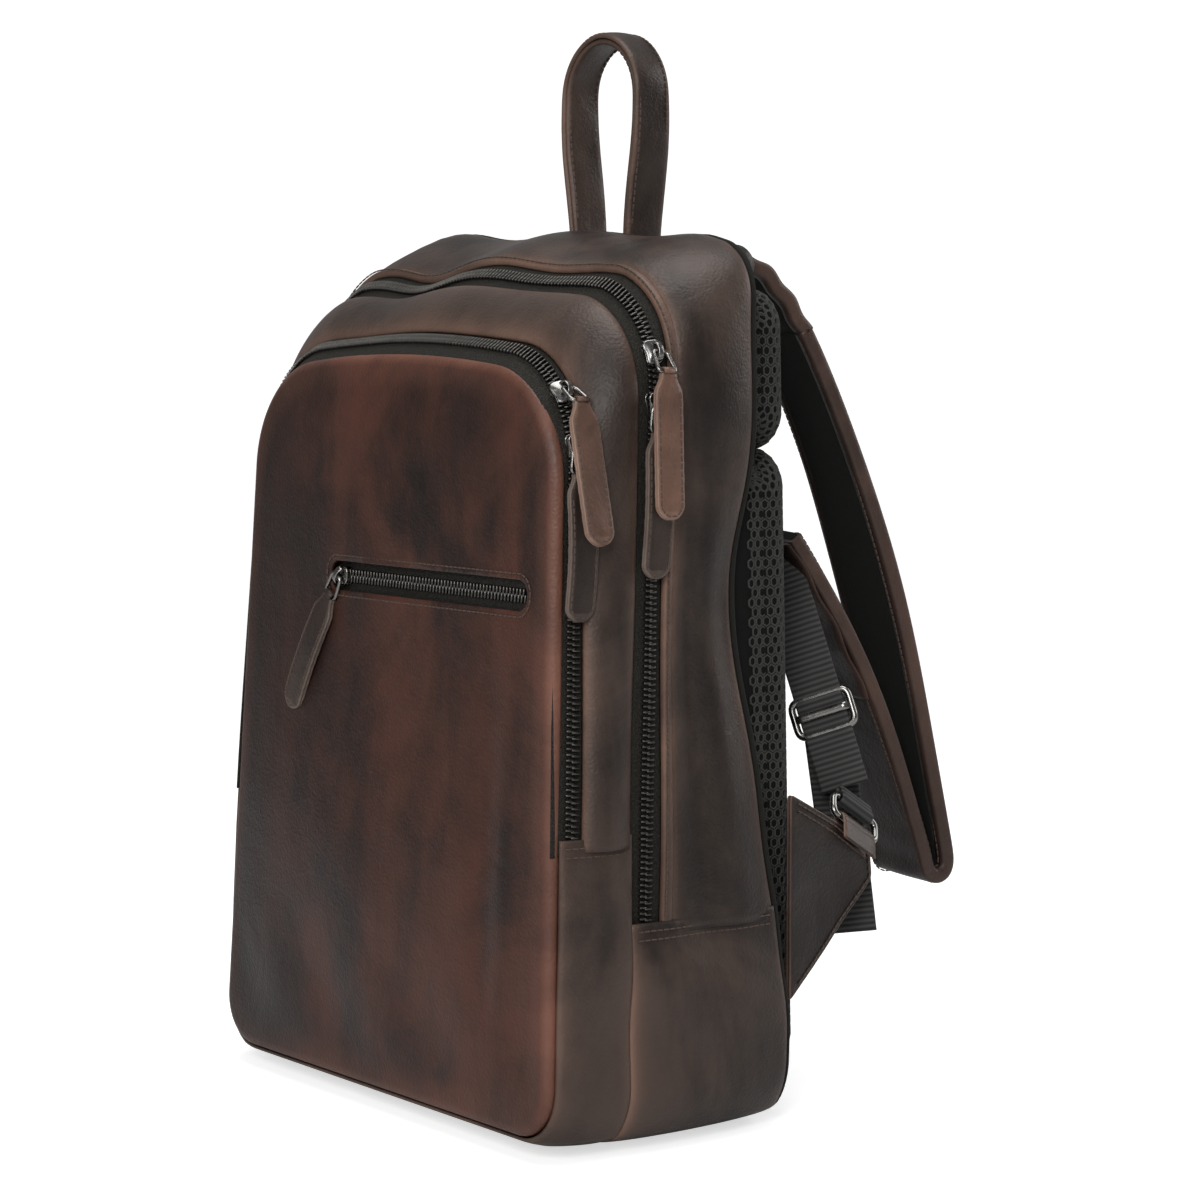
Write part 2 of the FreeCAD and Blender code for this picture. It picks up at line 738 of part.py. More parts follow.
def side_slider(tag, y, spot, along, rise, link_turn, pull_turn, tilt=0.0, lift=0.0):
    """Slider on the +X side; the turns are from straight down, outward."""
    sizes = station_at(y)
    lean_angle = math.radians(sizes["lean"])
    normal = V(0, math.cos(lean_angle), -math.sin(lean_angle))
    wide = unit(normal - along * normal.dot(along))
    flat_x = V(1, 0, 0)
    flat_z = V(0, math.sin(lean_angle), math.cos(lean_angle))
    ways = []
    for turn in (link_turn, pull_turn):
        angle = math.radians(turn)
        ways.append(flat_x * math.sin(angle) - flat_z * math.cos(angle))
    track = (wide, along, unit(wide.cross(along)))
    slider_set(tag, spot, track, rise, normal, ways[0], ways[1], tilt, lift)


main_sizes = station_at(main_teeth_y)
pocket_sizes = station_at(pocket_teeth_y)
main_start, main_end = run_line(main_sizes)
main_spot = corner_point(main_sizes, 18.0)
main_along = unit(corner_point(main_sizes, 18.5) - corner_point(main_sizes, 17.5))
side_slider("main_upper", main_teeth_y, main_spot, main_along, 0.3, 35.0, 4.0, 20.0, 0.8)
run_share = (358.0 - main_start.z) / (main_end.z - main_start.z)
run_spot = main_start + (main_end - main_start) * run_share
side_slider("main_lower", main_teeth_y, run_spot, unit(main_end - main_start), 0.0, 0.0, 0.0)
pocket_spot = corner_point(pocket_sizes, 38.0)
pocket_along = unit(corner_point(pocket_sizes, 38.5) - corner_point(pocket_sizes, 37.5))
side_slider("pocket_upper", pocket_teeth_y, pocket_spot, pocket_along, 0.5, 60.0, 16.5, 27.0, 1.0)
pocket_start, pocket_end = run_line(pocket_sizes)
run_spot = corner_point(pocket_sizes, 12.0)
run_share = (170.0 - pocket_start.z) / (pocket_end.z - pocket_start.z)
run_stop = pocket_start + (pocket_end - pocket_start) * run_share
side_slider("pocket_lower", pocket_teeth_y, run_spot, unit(run_spot - run_stop), 0.7, 2.0, 2.8)
for tag, sizes in (("main", main_sizes), ("pocket", pocket_sizes)):
    side, crown = high_corner(sizes)
    centre = lean_point(sizes, sizes["halfhigh"] - sizes["highcorner"], side)
    print("CORNER", tag, [round(c, 3) for c in centre], "lean", sizes["lean"], "radius", sizes["highcorner"])

window_spot = face_origin + across * (size("window_left") + 8.0) + up_face * window_mid
window_spot = window_spot + out_face * (tape_top + 1.8 - rise)
hang = unit(across * -0.5 + up_face * -0.87)
hang_axis = unit(out_face.cross(hang))
slider_set("window", window_spot, (up_face * -1.0, across, out_face), 0.0, hang_axis, hang, hang)

# ---------------------------------------------------------------- checks and export
doc.recompute()
bad = []
for made in doc.Objects:
    state = list(made.State)
    if "Invalid" in state or "Error" in state:
        bad.append(made.Name)
for made in nodes:
    if made.Shape.isNull() or not made.Shape.isValid() or not made.Shape.Solids:
        bad.append("shape " + made.Label)
if bad:
    raise RuntimeError("faulty: " + ", ".join(bad))

os.makedirs("parts", exist_ok=True)
for made in nodes:
    made.Shape.exportStep("parts/" + made.Label + ".step")
print("nodes", len(nodes))
for made in nodes:
    box = made.Shape.BoundBox
    print("%-24s %d solid  x %.1f %.1f  y %.1f %.1f  z %.1f %.1f" % (
        made.Label, len(made.Shape.Solids), box.XMin, box.XMax, box.YMin, box.YMax, box.ZMin, box.ZMax))
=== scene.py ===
import bpy
import bmesh
import json
import math
import numpy as np
from mathutils import Matrix, Vector


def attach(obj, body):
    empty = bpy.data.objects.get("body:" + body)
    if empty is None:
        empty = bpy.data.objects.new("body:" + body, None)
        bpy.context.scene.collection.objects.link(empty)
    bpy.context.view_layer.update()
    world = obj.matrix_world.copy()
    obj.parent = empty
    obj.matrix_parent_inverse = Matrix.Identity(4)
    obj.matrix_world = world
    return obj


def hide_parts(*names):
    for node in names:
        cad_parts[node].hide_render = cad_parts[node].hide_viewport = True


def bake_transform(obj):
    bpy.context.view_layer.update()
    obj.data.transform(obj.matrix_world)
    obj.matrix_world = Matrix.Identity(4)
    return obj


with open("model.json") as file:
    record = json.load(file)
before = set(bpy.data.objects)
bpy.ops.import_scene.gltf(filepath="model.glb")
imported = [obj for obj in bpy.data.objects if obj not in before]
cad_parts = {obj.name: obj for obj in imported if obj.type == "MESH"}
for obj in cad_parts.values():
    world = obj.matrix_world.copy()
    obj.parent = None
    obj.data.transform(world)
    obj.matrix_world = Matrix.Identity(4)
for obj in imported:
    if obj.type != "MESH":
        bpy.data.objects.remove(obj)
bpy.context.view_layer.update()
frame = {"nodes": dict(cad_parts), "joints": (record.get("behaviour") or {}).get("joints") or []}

# ---- Form of the bag
# The soft body is one rounded outline that changes from the pocket face to the back.
# y is depth at the base, t runs round the outline (0 base middle, 0.5 top middle), and
# everything sewn to the body is laid on it, so neighbours always meet.
DEPTHS = [-0.071, -0.054, -0.025, -0.007, 0.077]
FORM = {
    "low": [0.012, 0.006, 0.0, 0.0, 0.0],
    "half_low": [0.146, 0.149, 0.152, 0.152, 0.152],
    "half_high": [0.135, 0.137, 0.145, 0.146, 0.146],
    "top": [0.382, 0.393, 0.415, 0.426, 0.443],
    "low_corner": [0.025, 0.028, 0.033, 0.033, 0.035],
    "high_corner": [0.058, 0.058, 0.050, 0.046, 0.028],
    "lean": [2.7, 2.6, 2.0, 1.6, -1.5],
}
TURNS = [0.0, 0.095, 0.135, 0.365, 0.43, 0.5]
SWEEP = math.radians(84)
PRESSED_HIGH, HANGS_BELOW = 0.010, 0.0062


def form_at(y):
    sizes = {key: np.interp(y, DEPTHS, values) for key, values in FORM.items()}
    radius = sizes["high_corner"]
    crown = (sizes["half_high"] - radius + radius * math.cos(SWEEP)) / math.cos(SWEEP)
    sizes["crown"] = crown
    sizes["side"] = sizes["top"] - radius * math.sin(SWEEP) - crown * (1 - math.sin(SWEEP))
    return sizes


def outline(y, t):
    """Points of the firm outline, before any softness."""
    y, t = np.broadcast_arrays(np.asarray(y, float), np.asarray(t, float))
    s = form_at(y)
    hand = np.where((t < 0) | (t > 0.5), -1.0, 1.0)
    place = np.where(t < 0, -t, np.where(t > 0.5, 1 - t, t))
    part = np.clip(np.searchsorted(TURNS, place, side="right") - 1, 0, 4)
    share = (place - np.take(TURNS, part)) / np.take(np.diff(TURNS), part)
    low_x, low_z = s["half_low"] - s["low_corner"], s["low"] + s["low_corner"]
    high_x = s["half_high"] - s["high_corner"]
    a = -math.pi / 2 + share * math.pi / 2
    b = share * SWEEP
    c = SWEEP + share * (math.pi / 2 - SWEEP)
    x = np.choose(part, [
        low_x * share,
        low_x + s["low_corner"] * np.cos(a),
        s["half_low"] + (s["half_high"] - s["half_low"]) * share,
        high_x + s["high_corner"] * np.cos(b),
        s["crown"] * np.cos(c)])
    z = np.choose(part, [
        s["low"],
        low_z + s["low_corner"] * np.sin(a),
        low_z + (s["side"] - low_z) * share,
        s["side"] + s["high_corner"] * np.sin(b),
        s["top"] - s["crown"] + s["crown"] * np.sin(c)])
    lean = np.radians(s["lean"])
    return np.stack([hand * x, y + z * np.sin(lean), z * np.cos(lean)], -1)


def hill(value, middle, spread):
    return np.exp(-((value - middle) / spread) ** 2)


def soften(p):
    """Sag, waist and folds of the worn leather walls; still where the zips park."""
    x, y, z = p[..., 0], p[..., 1], p[..., 2]
    hand = np.sign(x)
    on_side = np.clip((np.abs(x) - 0.085) / 0.045, 0, 1)
    left = np.where(hand < 0, 1.0, 0.0)
    rear = np.clip((y - 0.012) / 0.055, 0, 1)
    waist = -0.0060 * hill(z, 0.245, 0.065) * hill(y, 0.062, 0.045)
    waist = waist - 0.0032 * hill(z, 0.215, 0.07) * hill(y, 0.018, 0.022)
    waist = waist + 0.0022 * hill(z, 0.065, 0.05) * hill(y, 0.04, 0.04)
    waist = waist + 0.0036 * hill(z, 0.355, 0.035) * hill(y, 0.040, 0.028)
    ripple = 0.0016 * np.sin(y * 150 + 9 * z + left) * hill(z, 0.20, 0.09)
    ripple = ripple + 0.0011 * np.sin(z * 95 + 40 * y + 2 * left) * hill(z, 0.07, 0.05)
    ripple = ripple + 0.0012 * np.sin(z * 60 - 90 * y) * hill(z, 0.30, 0.05) * rear
    belly = 0.0045 * hill(z, 0.15, 0.10) * np.clip((-0.02 - y) / 0.03, 0, 1) * (0.35 + 0.65 * left)
    x = x + hand * on_side * (waist + belly + ripple * np.clip((y + 0.06) / 0.03, 0.2, 1))
    pinch = 0.0225 * hill(z, 0.262, 0.085) + 0.0085 * hill(z, 0.40, 0.06) + 0.006 * hill(z, 0.14, 0.05)
    y = y - pinch * rear * on_side
    on_top = np.clip((z - 0.36) / 0.03, 0, 1) * np.clip((0.135 - np.abs(x)) / 0.03, 0, 1)
    dip = -0.0045 * hill(x, -0.055, 0.028) * hill(y, 0.004, 0.03)
    dip = dip + 0.0022 * np.sin(x * 62 + 1.3) * hill(y, 0.03, 0.04)
    dip = dip + (0.0008 + 0.0042 * left) * hill(np.abs(x), 0.104, 0.022) * hill(y, 0.062, 0.03)
    z = z + on_top * dip
    return np.stack([x, y, z], -1)


def on_bag(y, t, rise=0.0):
    """Points on the softened body, lifted off it along its own normal."""
    y, t = np.broadcast_arrays(np.asarray(y, float), np.asarray(t, float))
    base = soften(outline(y, t))
    along = soften(outline(y, t + 2e-4)) - soften(outline(y, t - 2e-4))
    across = soften(outline(y + 1e-4, t)) - soften(outline(y - 1e-4, t))
    normal = np.cross(across, along)
    normal = normal / np.linalg.norm(normal, axis=-1, keepdims=True)
    points = base + normal * np.asarray(rise)[..., None]
    # The underside is pressed flat on the floor: what would hang below it is taken up.
    height = points[..., 2]
    pressed = np.maximum((height + HANGS_BELOW) * PRESSED_HIGH / (PRESSED_HIGH + HANGS_BELOW), 0.0)
    points[..., 2] = np.where(height < PRESSED_HIGH, pressed, height)
    return points, normal


def turn_at(y, z):
    """t on the straight side where its height is z."""
    s = form_at(y)
    low = s["low"] + s["low_corner"]
    return TURNS[2] + (TURNS[3] - TURNS[2]) * (z - low) / (s["side"] - low)


# ---- Leather
# Waxed pull-up leather: dark marbling with upright streaks, lighter where edges and
# folds are rubbed and, on the front panel, where a highlight is painted down its right
# side (one point attribute); darker by a second point attribute, which holds smoke streaks
# and painted shade down the front panel's left side and a few darker patches; with a
# fine pebbled grain and soft creases.
def group_io(tree, name, kind, way, value=None):
    socket = tree.interface.new_socket(name=name, in_out=way, socket_type=kind)
    if value is not None:
        socket.default_value = value
    return socket


def link(tree, start, out, end, into):
    tree.links.new(start.outputs[out], end.inputs[into])


def made(tree, kind, **settings):
    node = tree.nodes.new(kind)
    for key, value in settings.items():
        if hasattr(node, key):
            setattr(node, key, value)
        else:
            node.inputs[key].default_value = value
    return node


grain = bpy.data.node_groups.new("leather surface", "ShaderNodeTree")
group_io(grain, "Dark", "NodeSocketColor", "INPUT", (0.02, 0.012, 0.01, 1))
group_io(grain, "Mid", "NodeSocketColor", "INPUT", (0.05, 0.03, 0.025, 1))
group_io(grain, "Rubbed and highlight", "NodeSocketColor", "INPUT", (0.16, 0.09, 0.07, 1))
group_io(grain, "Colour", "NodeSocketColor", "OUTPUT")
group_io(grain, "Roughness", "NodeSocketFloat", "OUTPUT")
group_io(grain, "Normal", "NodeSocketVector", "OUTPUT")
g_in = grain.nodes.new("NodeGroupInput")
g_out = grain.nodes.new("NodeGroupOutput")
spot = grain.nodes.new("ShaderNodeTexCoord")
stretch = made(grain, "ShaderNodeMapping", Scale=(11, 11, 3.4))
link(grain, spot, "Object", stretch, "Vector")
streak = made(grain, "ShaderNodeTexNoise", Scale=1.6, Detail=6.0, Roughness=0.62, Distortion=0.6)
link(grain, stretch, "Vector", streak, "Vector")
cloud = made(grain, "ShaderNodeTexNoise", Scale=9.0, Detail=5.0, Roughness=0.6, Distortion=0.9)
link(grain, spot, "Object", cloud, "Vector")
blotch = made(grain, "ShaderNodeTexNoise", Scale=55.0, Detail=4.0, Roughness=0.65)
link(grain, spot, "Object", blotch, "Vector")
mixed = made(grain, "ShaderNodeMath", operation="MULTIPLY_ADD")
mixed.inputs[1].default_value = 0.48
link(grain, streak, "Fac", mixed, 0)
half_cloud = made(grain, "ShaderNodeMath", operation="MULTIPLY_ADD")
half_cloud.inputs[1].default_value = 0.42
link(grain, cloud, "Fac", half_cloud, 0)
tenth = made(grain, "ShaderNodeMath", operation="MULTIPLY")
tenth.inputs[1].default_value = 0.10
link(grain, blotch, "Fac", tenth, 0)
link(grain, tenth, "Value", half_cloud, 2)
link(grain, half_cloud, "Value", mixed, 2)
spread = made(grain, "ShaderNodeMapRange", interpolation_type="SMOOTHSTEP")
spread.inputs["From Min"].default_value = 0.38
spread.inputs["From Max"].default_value = 0.62
link(grain, mixed, "Value", spread, "Value")
# The second attribute darkens: smoke streaks and painted shade on the front panel's left side, and a few
# darker patches.
smoke_and_shade = made(grain, "ShaderNodeAttribute", attribute_name="smoke_and_shade")
clear = made(grain, "ShaderNodeMath", operation="SUBTRACT", use_clamp=True)
clear.inputs[0].default_value = 1.0
link(grain, smoke_and_shade, "Fac", clear, 1)
amount = made(grain, "ShaderNodeMath", operation="MULTIPLY")
link(grain, spread, "Result", amount, 0)
link(grain, clear, "Value", amount, 1)
body_colour = made(grain, "ShaderNodeMix", data_type="RGBA")
grain.links.new(amount.outputs[0], body_colour.inputs["Factor"])
grain.links.new(g_in.outputs["Dark"], body_colour.inputs[6])
grain.links.new(g_in.outputs["Mid"], body_colour.inputs[7])
wear_and_highlight = made(grain, "ShaderNodeAttribute", attribute_name="wear_and_highlight")
ragged = made(grain, "ShaderNodeMapRange", interpolation_type="SMOOTHSTEP")
ragged.inputs["From Min"].default_value = 0.35
ragged.inputs["From Max"].default_value = 0.75
link(grain, cloud, "Fac", ragged, "Value")
rag_add = made(grain, "ShaderNodeMath", operation="MULTIPLY_ADD")
rag_add.inputs[1].default_value = 0.7
rag_add.inputs[2].default_value = 0.45
link(grain, ragged, "Result", rag_add, 0)
rub_and_highlight = made(grain, "ShaderNodeMath", operation="MULTIPLY", use_clamp=True)
link(grain, wear_and_highlight, "Fac", rub_and_highlight, 0)
link(grain, rag_add, "Value", rub_and_highlight, 1)
final = made(grain, "ShaderNodeMix", data_type="RGBA")
grain.links.new(rub_and_highlight.outputs[0], final.inputs["Factor"])
grain.links.new(body_colour.outputs[2], final.inputs[6])
grain.links.new(g_in.outputs["Rubbed and highlight"], final.inputs[7])
grain.links.new(final.outputs[2], g_out.inputs["Colour"])
rough = made(grain, "ShaderNodeMapRange")
rough.inputs["To Min"].default_value = 0.30
rough.inputs["To Max"].default_value = 0.56
link(grain, cloud, "Fac", rough, "Value")
link(grain, rough, "Result", g_out, "Roughness")
pebble = made(grain, "ShaderNodeTexVoronoi", Scale=620.0, feature="SMOOTH_F1")
pebble.inputs["Smoothness"].default_value = 0.4
link(grain, spot, "Object", pebble, "Vector")
crease = made(grain, "ShaderNodeTexNoise", Scale=150.0, Detail=7.0, Roughness=0.7, Distortion=1.6)
link(grain, spot, "Object", crease, "Vector")
fine = made(grain, "ShaderNodeBump", Strength=0.32, Distance=0.0005)
link(grain, pebble, "Distance", fine, "Height")
broad = made(grain, "ShaderNodeBump", Strength=0.30, Distance=0.0009)
link(grain, crease, "Fac", broad, "Height")
link(grain, fine, "Normal", broad, "Normal")
swell = made(grain, "ShaderNodeTexNoise", Scale=17.0, Detail=3.0, Roughness=0.5, Distortion=0.8)
link(grain, spot, "Object", swell, "Vector")
slack = made(grain, "ShaderNodeBump", Strength=0.35, Distance=0.0045)
link(grain, swell, "Fac", slack, "Height")
link(grain, broad, "Normal", slack, "Normal")
link(grain, slack, "Normal", g_out, "Normal")


def leather(name, dark, mid, rubbed_and_highlight):
    material = bpy.data.materials.new(name)
    material.use_nodes = True
    tree = material.node_tree
    shader = tree.nodes["Principled BSDF"]
    surface = tree.nodes.new("ShaderNodeGroup")
    surface.node_tree = grain
    surface.inputs["Dark"].default_value = (*dark, 1)
    surface.inputs["Mid"].default_value = (*mid, 1)
    surface.inputs["Rubbed and highlight"].default_value = (*rubbed_and_highlight, 1)
    link(tree, surface, "Colour", shader, "Base Color")
    link(tree, surface, "Roughness", shader, "Roughness")
    link(tree, surface, "Normal", shader, "Normal")
    shader.inputs["Specular IOR Level"].default_value = 0.26
    shader.inputs["Coat Weight"].default_value = 0.036
    shader.inputs["Coat Roughness"].default_value = 0.42
    return material


# The panel's rubbed colour also paints the highlight down its right side.
panel_leather = leather("panel leather", dark=(0.011, 0.0065, 0.0052), mid=(0.066, 0.023, 0.0145),
                        rubbed_and_highlight=(0.170, 0.072, 0.048))
side_leather = leather("side leather", dark=(0.013, 0.0092, 0.0078), mid=(0.056, 0.037, 0.029),
                       rubbed_and_highlight=(0.185, 0.108, 0.078))
pull_leather = leather("upper pull leather", dark=(0.060, 0.033, 0.023), mid=(0.200, 0.106, 0.075),
                       rubbed_and_highlight=(0.29, 0.19, 0.145))
dark_pull_leather = leather("lower pull leather", dark=(0.013, 0.009, 0.0075), mid=(0.042, 0.027, 0.021),
                            rubbed_and_highlight=(0.16, 0.12, 0.10))


# ---- How a sewn strip or band is made
# Each piece is a closed cross section carried along its run and sealed at both ends.
# The wear attribute marks rubbed edges, and on the front panel also a painted highlight; "lay" keeps metres
# along and across for weaves.
def ring_loft(name, rings, material, wear_and_highlight=None, lay=None, loop=False, flat_ends=True):
    rings = np.asarray(rings, float)
    runs, around, _ = rings.shape
    mesh = bpy.data.meshes.new(name)
    index = np.arange(runs * around).reshape(runs, around)
    ahead = np.roll(index, -1, axis=1)
    last = runs if loop else runs - 1
    following = np.roll(index, -1, axis=0)
    following_ahead = np.roll(ahead, -1, axis=0)
    quads = np.stack([index[:last], ahead[:last], following_ahead[:last], following[:last]], -1)
    faces = [tuple(int(i) for i in q) for q in quads.reshape(-1, 4)]
    if not loop:
        faces.append(tuple(int(i) for i in index[0][::-1]))
        faces.append(tuple(int(i) for i in index[-1]))
    mesh.from_pydata([tuple(c) for c in rings.reshape(-1, 3)], [], faces)
    if wear_and_highlight is not None:
        values = np.broadcast_to(wear_and_highlight, (runs, around)).astype(np.float32)
        mesh.attributes.new("wear_and_highlight", "FLOAT", "POINT").data.foreach_set("value", values.ravel().copy())
    if lay is not None:
        values = np.asarray(lay, np.float32).reshape(-1)
        mesh.attributes.new("lay", "FLOAT_VECTOR", "POINT").data.foreach_set("vector", values)
    work = bmesh.new()
    work.from_mesh(mesh)
    bmesh.ops.recalc_face_normals(work, faces=work.faces)
    work.to_mesh(mesh)
    work.free()
    mesh.shade_smooth()
    if not loop and flat_ends:
        mesh.polygons[len(mesh.polygons) - 1].use_smooth = False
        mesh.polygons[len(mesh.polygons) - 2].use_smooth = False
    piece = bpy.data.objects.new(name, mesh)
    bpy.context.scene.collection.objects.link(piece)
    mesh.materials.append(material)
    return piece


def settle(piece, body, slot, *stands_for):
    """Puts a finished piece on its body and hides the CAD nodes it stands for; slot is not used."""
    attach(piece, body)
    if stands_for:
        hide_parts(*stands_for)
    return piece


def strip_section(width, thick, count):
    """Closed section of a strip: share across it, and depth below its outer face."""
    edge = min(0.0009 / width, 0.2)
    across = np.concatenate([[0.0, edge * 0.35], np.linspace(edge, 1 - edge, count), [1 - edge * 0.35, 1.0]])
    sink = np.concatenate([[0.5, 0.16], np.zeros(count), [0.16, 0.5]]) * thick
    under = np.linspace(1 - edge, edge, max(count // 3, 2))
    v = np.concatenate([across, under])
    down = np.concatenate([sink, np.full(len(under), thick)])
    return v, down


def body_strip(name, y0, y1, ends, thick, puff, material, rise=0.0, runs=240, count=14, wear=(0.5, 0.5)):
    """Strip round the bag from depth y0 to y1; ends gives t at each end for a depth."""
    v, down = strip_section(y1 - y0, thick, count)
    y = y0 + (y1 - y0) * v
    first, last = ends(y)
    share = np.linspace(0, 1, runs)[:, None]
    t = first[None, :] + (last - first)[None, :] * share
    full = np.broadcast_to(y[None, :], t.shape)
    height = puff(v[None, :], share) + rise - down[None, :]
    points, _ = on_bag(full, t, height)
    edge = wear[0] * np.exp(-v * (y1 - y0) / 0.0035) + wear[1] * np.exp(-(1 - v) * (y1 - y0) / 0.0035)
    return ring_loft(name, points, material, np.broadcast_to(edge[None, :], t.shape))


def above(seam):
    return lambda y: (turn_at(y, seam), 1 - turn_at(y, seam))


def below(seam):
    return lambda y: (-turn_at(y, seam), turn_at(y, seam))


def pillow(height, power=0.5):
    return lambda v, share: height * np.clip(4 * v * (1 - v), 0, 1) ** power


# ---- Side, top and base leather
# Middle gusset between the two long zips, rear gusset to the back, and the two base
# wraps that come up over their lower ends.  Turned edges, sewn through.
POCKET_SEAM = 0.153
MAIN_SEAM = 0.110
middle = body_strip("middle_gusset", -0.0542, -0.0253, above(POCKET_SEAM - 0.004), 0.0022,
                    pillow(0.0050, 0.6), side_leather, count=22, wear=(0.9, 0.5))
settle(middle, "bag", "side_leather", "middle_gusset")
rear = body_strip("rear_gusset", -0.001, 0.0735, above(MAIN_SEAM - 0.004), 0.0022,
                  pillow(0.0040, 0.5), side_leather, count=40, wear=(0.9, 0.6))
settle(rear, "bag", "side_leather", "rear_gusset")


def wrap_puff(height, lift):
    def puff(v, share):
        near = np.minimum(share, 1 - share)
        return height * np.clip(4 * v * (1 - v), 0, 1) ** 0.5 * np.clip(near / 0.05, 0, 1) + lift
    return puff


front_wrap = body_strip("front_base_wrap", -0.0658, -0.0247, below(POCKET_SEAM + 0.002), 0.0024,
                        wrap_puff(0.003, 0.0012), side_leather, runs=200, count=20, wear=(0.5, 0.4))
settle(front_wrap, "bag", "side_leather", "front_base")
rear_wrap = body_strip("rear_base_wrap", -0.0256, 0.0735, below(MAIN_SEAM + 0.002), 0.0024,
                       wrap_puff(0.003, 0.0022), side_leather, runs=200, count=36, wear=(0.8, 0.35))
settle(rear_wrap, "bag", "side_leather", "rear_base")

# ---- Zip tapes
# Woven black tape with an olive cast, sunk a little between the leather edges.
def speckled(name, noise, dark, light, span=None, gloss=None, bump=None, **shine):
    """Two tones mixed by a fine noise; gloss varies the roughness, bump raises the grain."""
    material = bpy.data.materials.new(name)
    material.use_nodes = True
    tree = material.node_tree
    shader = tree.nodes["Principled BSDF"]
    coords = tree.nodes.new("ShaderNodeTexCoord")
    flecks = made(tree, "ShaderNodeTexNoise", **noise)
    link(tree, coords, "Object", flecks, "Vector")
    tint = made(tree, "ShaderNodeMix", data_type="RGBA")
    tint.inputs[6].default_value = (*dark, 1)
    tint.inputs[7].default_value = (*light, 1)
    tree.links.new(tint.outputs[2], shader.inputs["Base Color"])
    if span:
        ramp = tree.nodes.new("ShaderNodeMapRange")
        ramp.inputs["From Min"].default_value, ramp.inputs["From Max"].default_value = span
        link(tree, flecks, "Fac", ramp, "Value")
        link(tree, ramp, "Result", tint, "Factor")
    else:
        link(tree, flecks, "Fac", tint, "Factor")
    if gloss:
        polish = tree.nodes.new("ShaderNodeMapRange")
        polish.inputs["To Min"].default_value, polish.inputs["To Max"].default_value = gloss
        link(tree, flecks, "Fac", polish, "Value")
        link(tree, polish, "Result", shader, "Roughness")
    if bump:
        relief = made(tree, "ShaderNodeBump", Strength=bump[0], Distance=bump[1])
        link(tree, flecks, "Fac", relief, "Height")
        link(tree, relief, "Normal", shader, "Normal")
    for socket, value in shine.items():
        shader.inputs[socket.replace("_", " ")].default_value = value
    return material


woven = speckled("woven tape", dict(Scale=1900.0, Detail=2.0), (0.0075, 0.0072, 0.006), (0.036, 0.033, 0.026),
                 span=(0.42, 0.72), Roughness=0.8, Specular_IOR_Level=0.2)
tree = woven.node_tree
coords = tree.nodes.new("ShaderNodeTexCoord")
weave = made(tree, "ShaderNodeTexVoronoi", Scale=1500.0)
link(tree, coords, "Object", weave, "Vector")
weave_bump = made(tree, "ShaderNodeBump", Strength=0.7, Distance=0.0005)
link(tree, weave, "Distance", weave_bump, "Height")
link(tree, weave_bump, "Normal", tree.nodes["Principled BSDF"], "Normal")


def flat(v, share):
    return 0 * v * share


pocket_tape = body_strip("pocket_zip_tape", -0.0695, -0.0536, above(POCKET_SEAM - 0.006), 0.0010,
                         flat, woven, rise=-0.0016, count=8)
settle(pocket_tape, "bag", "zip_tape", "pocket_zip_tape")
main_tape = body_strip("main_zip_tape", -0.0258, -0.0062, above(MAIN_SEAM - 0.006), 0.0010,
                       flat, woven, rise=-0.0016, count=8)
settle(main_tape, "bag", "zip_tape", "main_zip_tape")


# ---- Repeats along a line
# One node tree sets a small piece at every point of a row, turned to the row and to
# the surface under it; rows are then made real.
placer = bpy.data.node_groups.new("set along a row", "GeometryNodeTree")
group_io(placer, "Row", "NodeSocketGeometry", "INPUT")
group_io(placer, "Piece", "NodeSocketObject", "INPUT")
group_io(placer, "Finish", "NodeSocketMaterial", "INPUT")
group_io(placer, "Result", "NodeSocketGeometry", "OUTPUT")
p_in = placer.nodes.new("NodeGroupInput")
p_out = placer.nodes.new("NodeGroupOutput")
info = placer.nodes.new("GeometryNodeObjectInfo")
link(placer, p_in, "Piece", info, "Object")
along_row = made(placer, "GeometryNodeInputNamedAttribute", data_type="FLOAT_VECTOR")
along_row.inputs["Name"].default_value = "along"
off_row = made(placer, "GeometryNodeInputNamedAttribute", data_type="FLOAT_VECTOR")
off_row.inputs["Name"].default_value = "off"
turned = made(placer, "FunctionNodeAxesToRotation", primary_axis="X", secondary_axis="Z")
placer.links.new(along_row.outputs[0], turned.inputs[0])
placer.links.new(off_row.outputs[0], turned.inputs[1])
copies = placer.nodes.new("GeometryNodeInstanceOnPoints")
placer.links.new(p_in.outputs["Row"], copies.inputs["Points"])
placer.links.new(info.outputs["Geometry"], copies.inputs["Instance"])
placer.links.new(turned.outputs[0], copies.inputs["Rotation"])
real = placer.nodes.new("GeometryNodeRealizeInstances")
link(placer, copies, 0, real, 0)
painted = placer.nodes.new("GeometryNodeSetMaterial")
link(placer, real, 0, painted, "Geometry")
link(placer, p_in, "Finish", painted, "Material")
placer.links.new(painted.outputs[0], p_out.inputs["Result"])


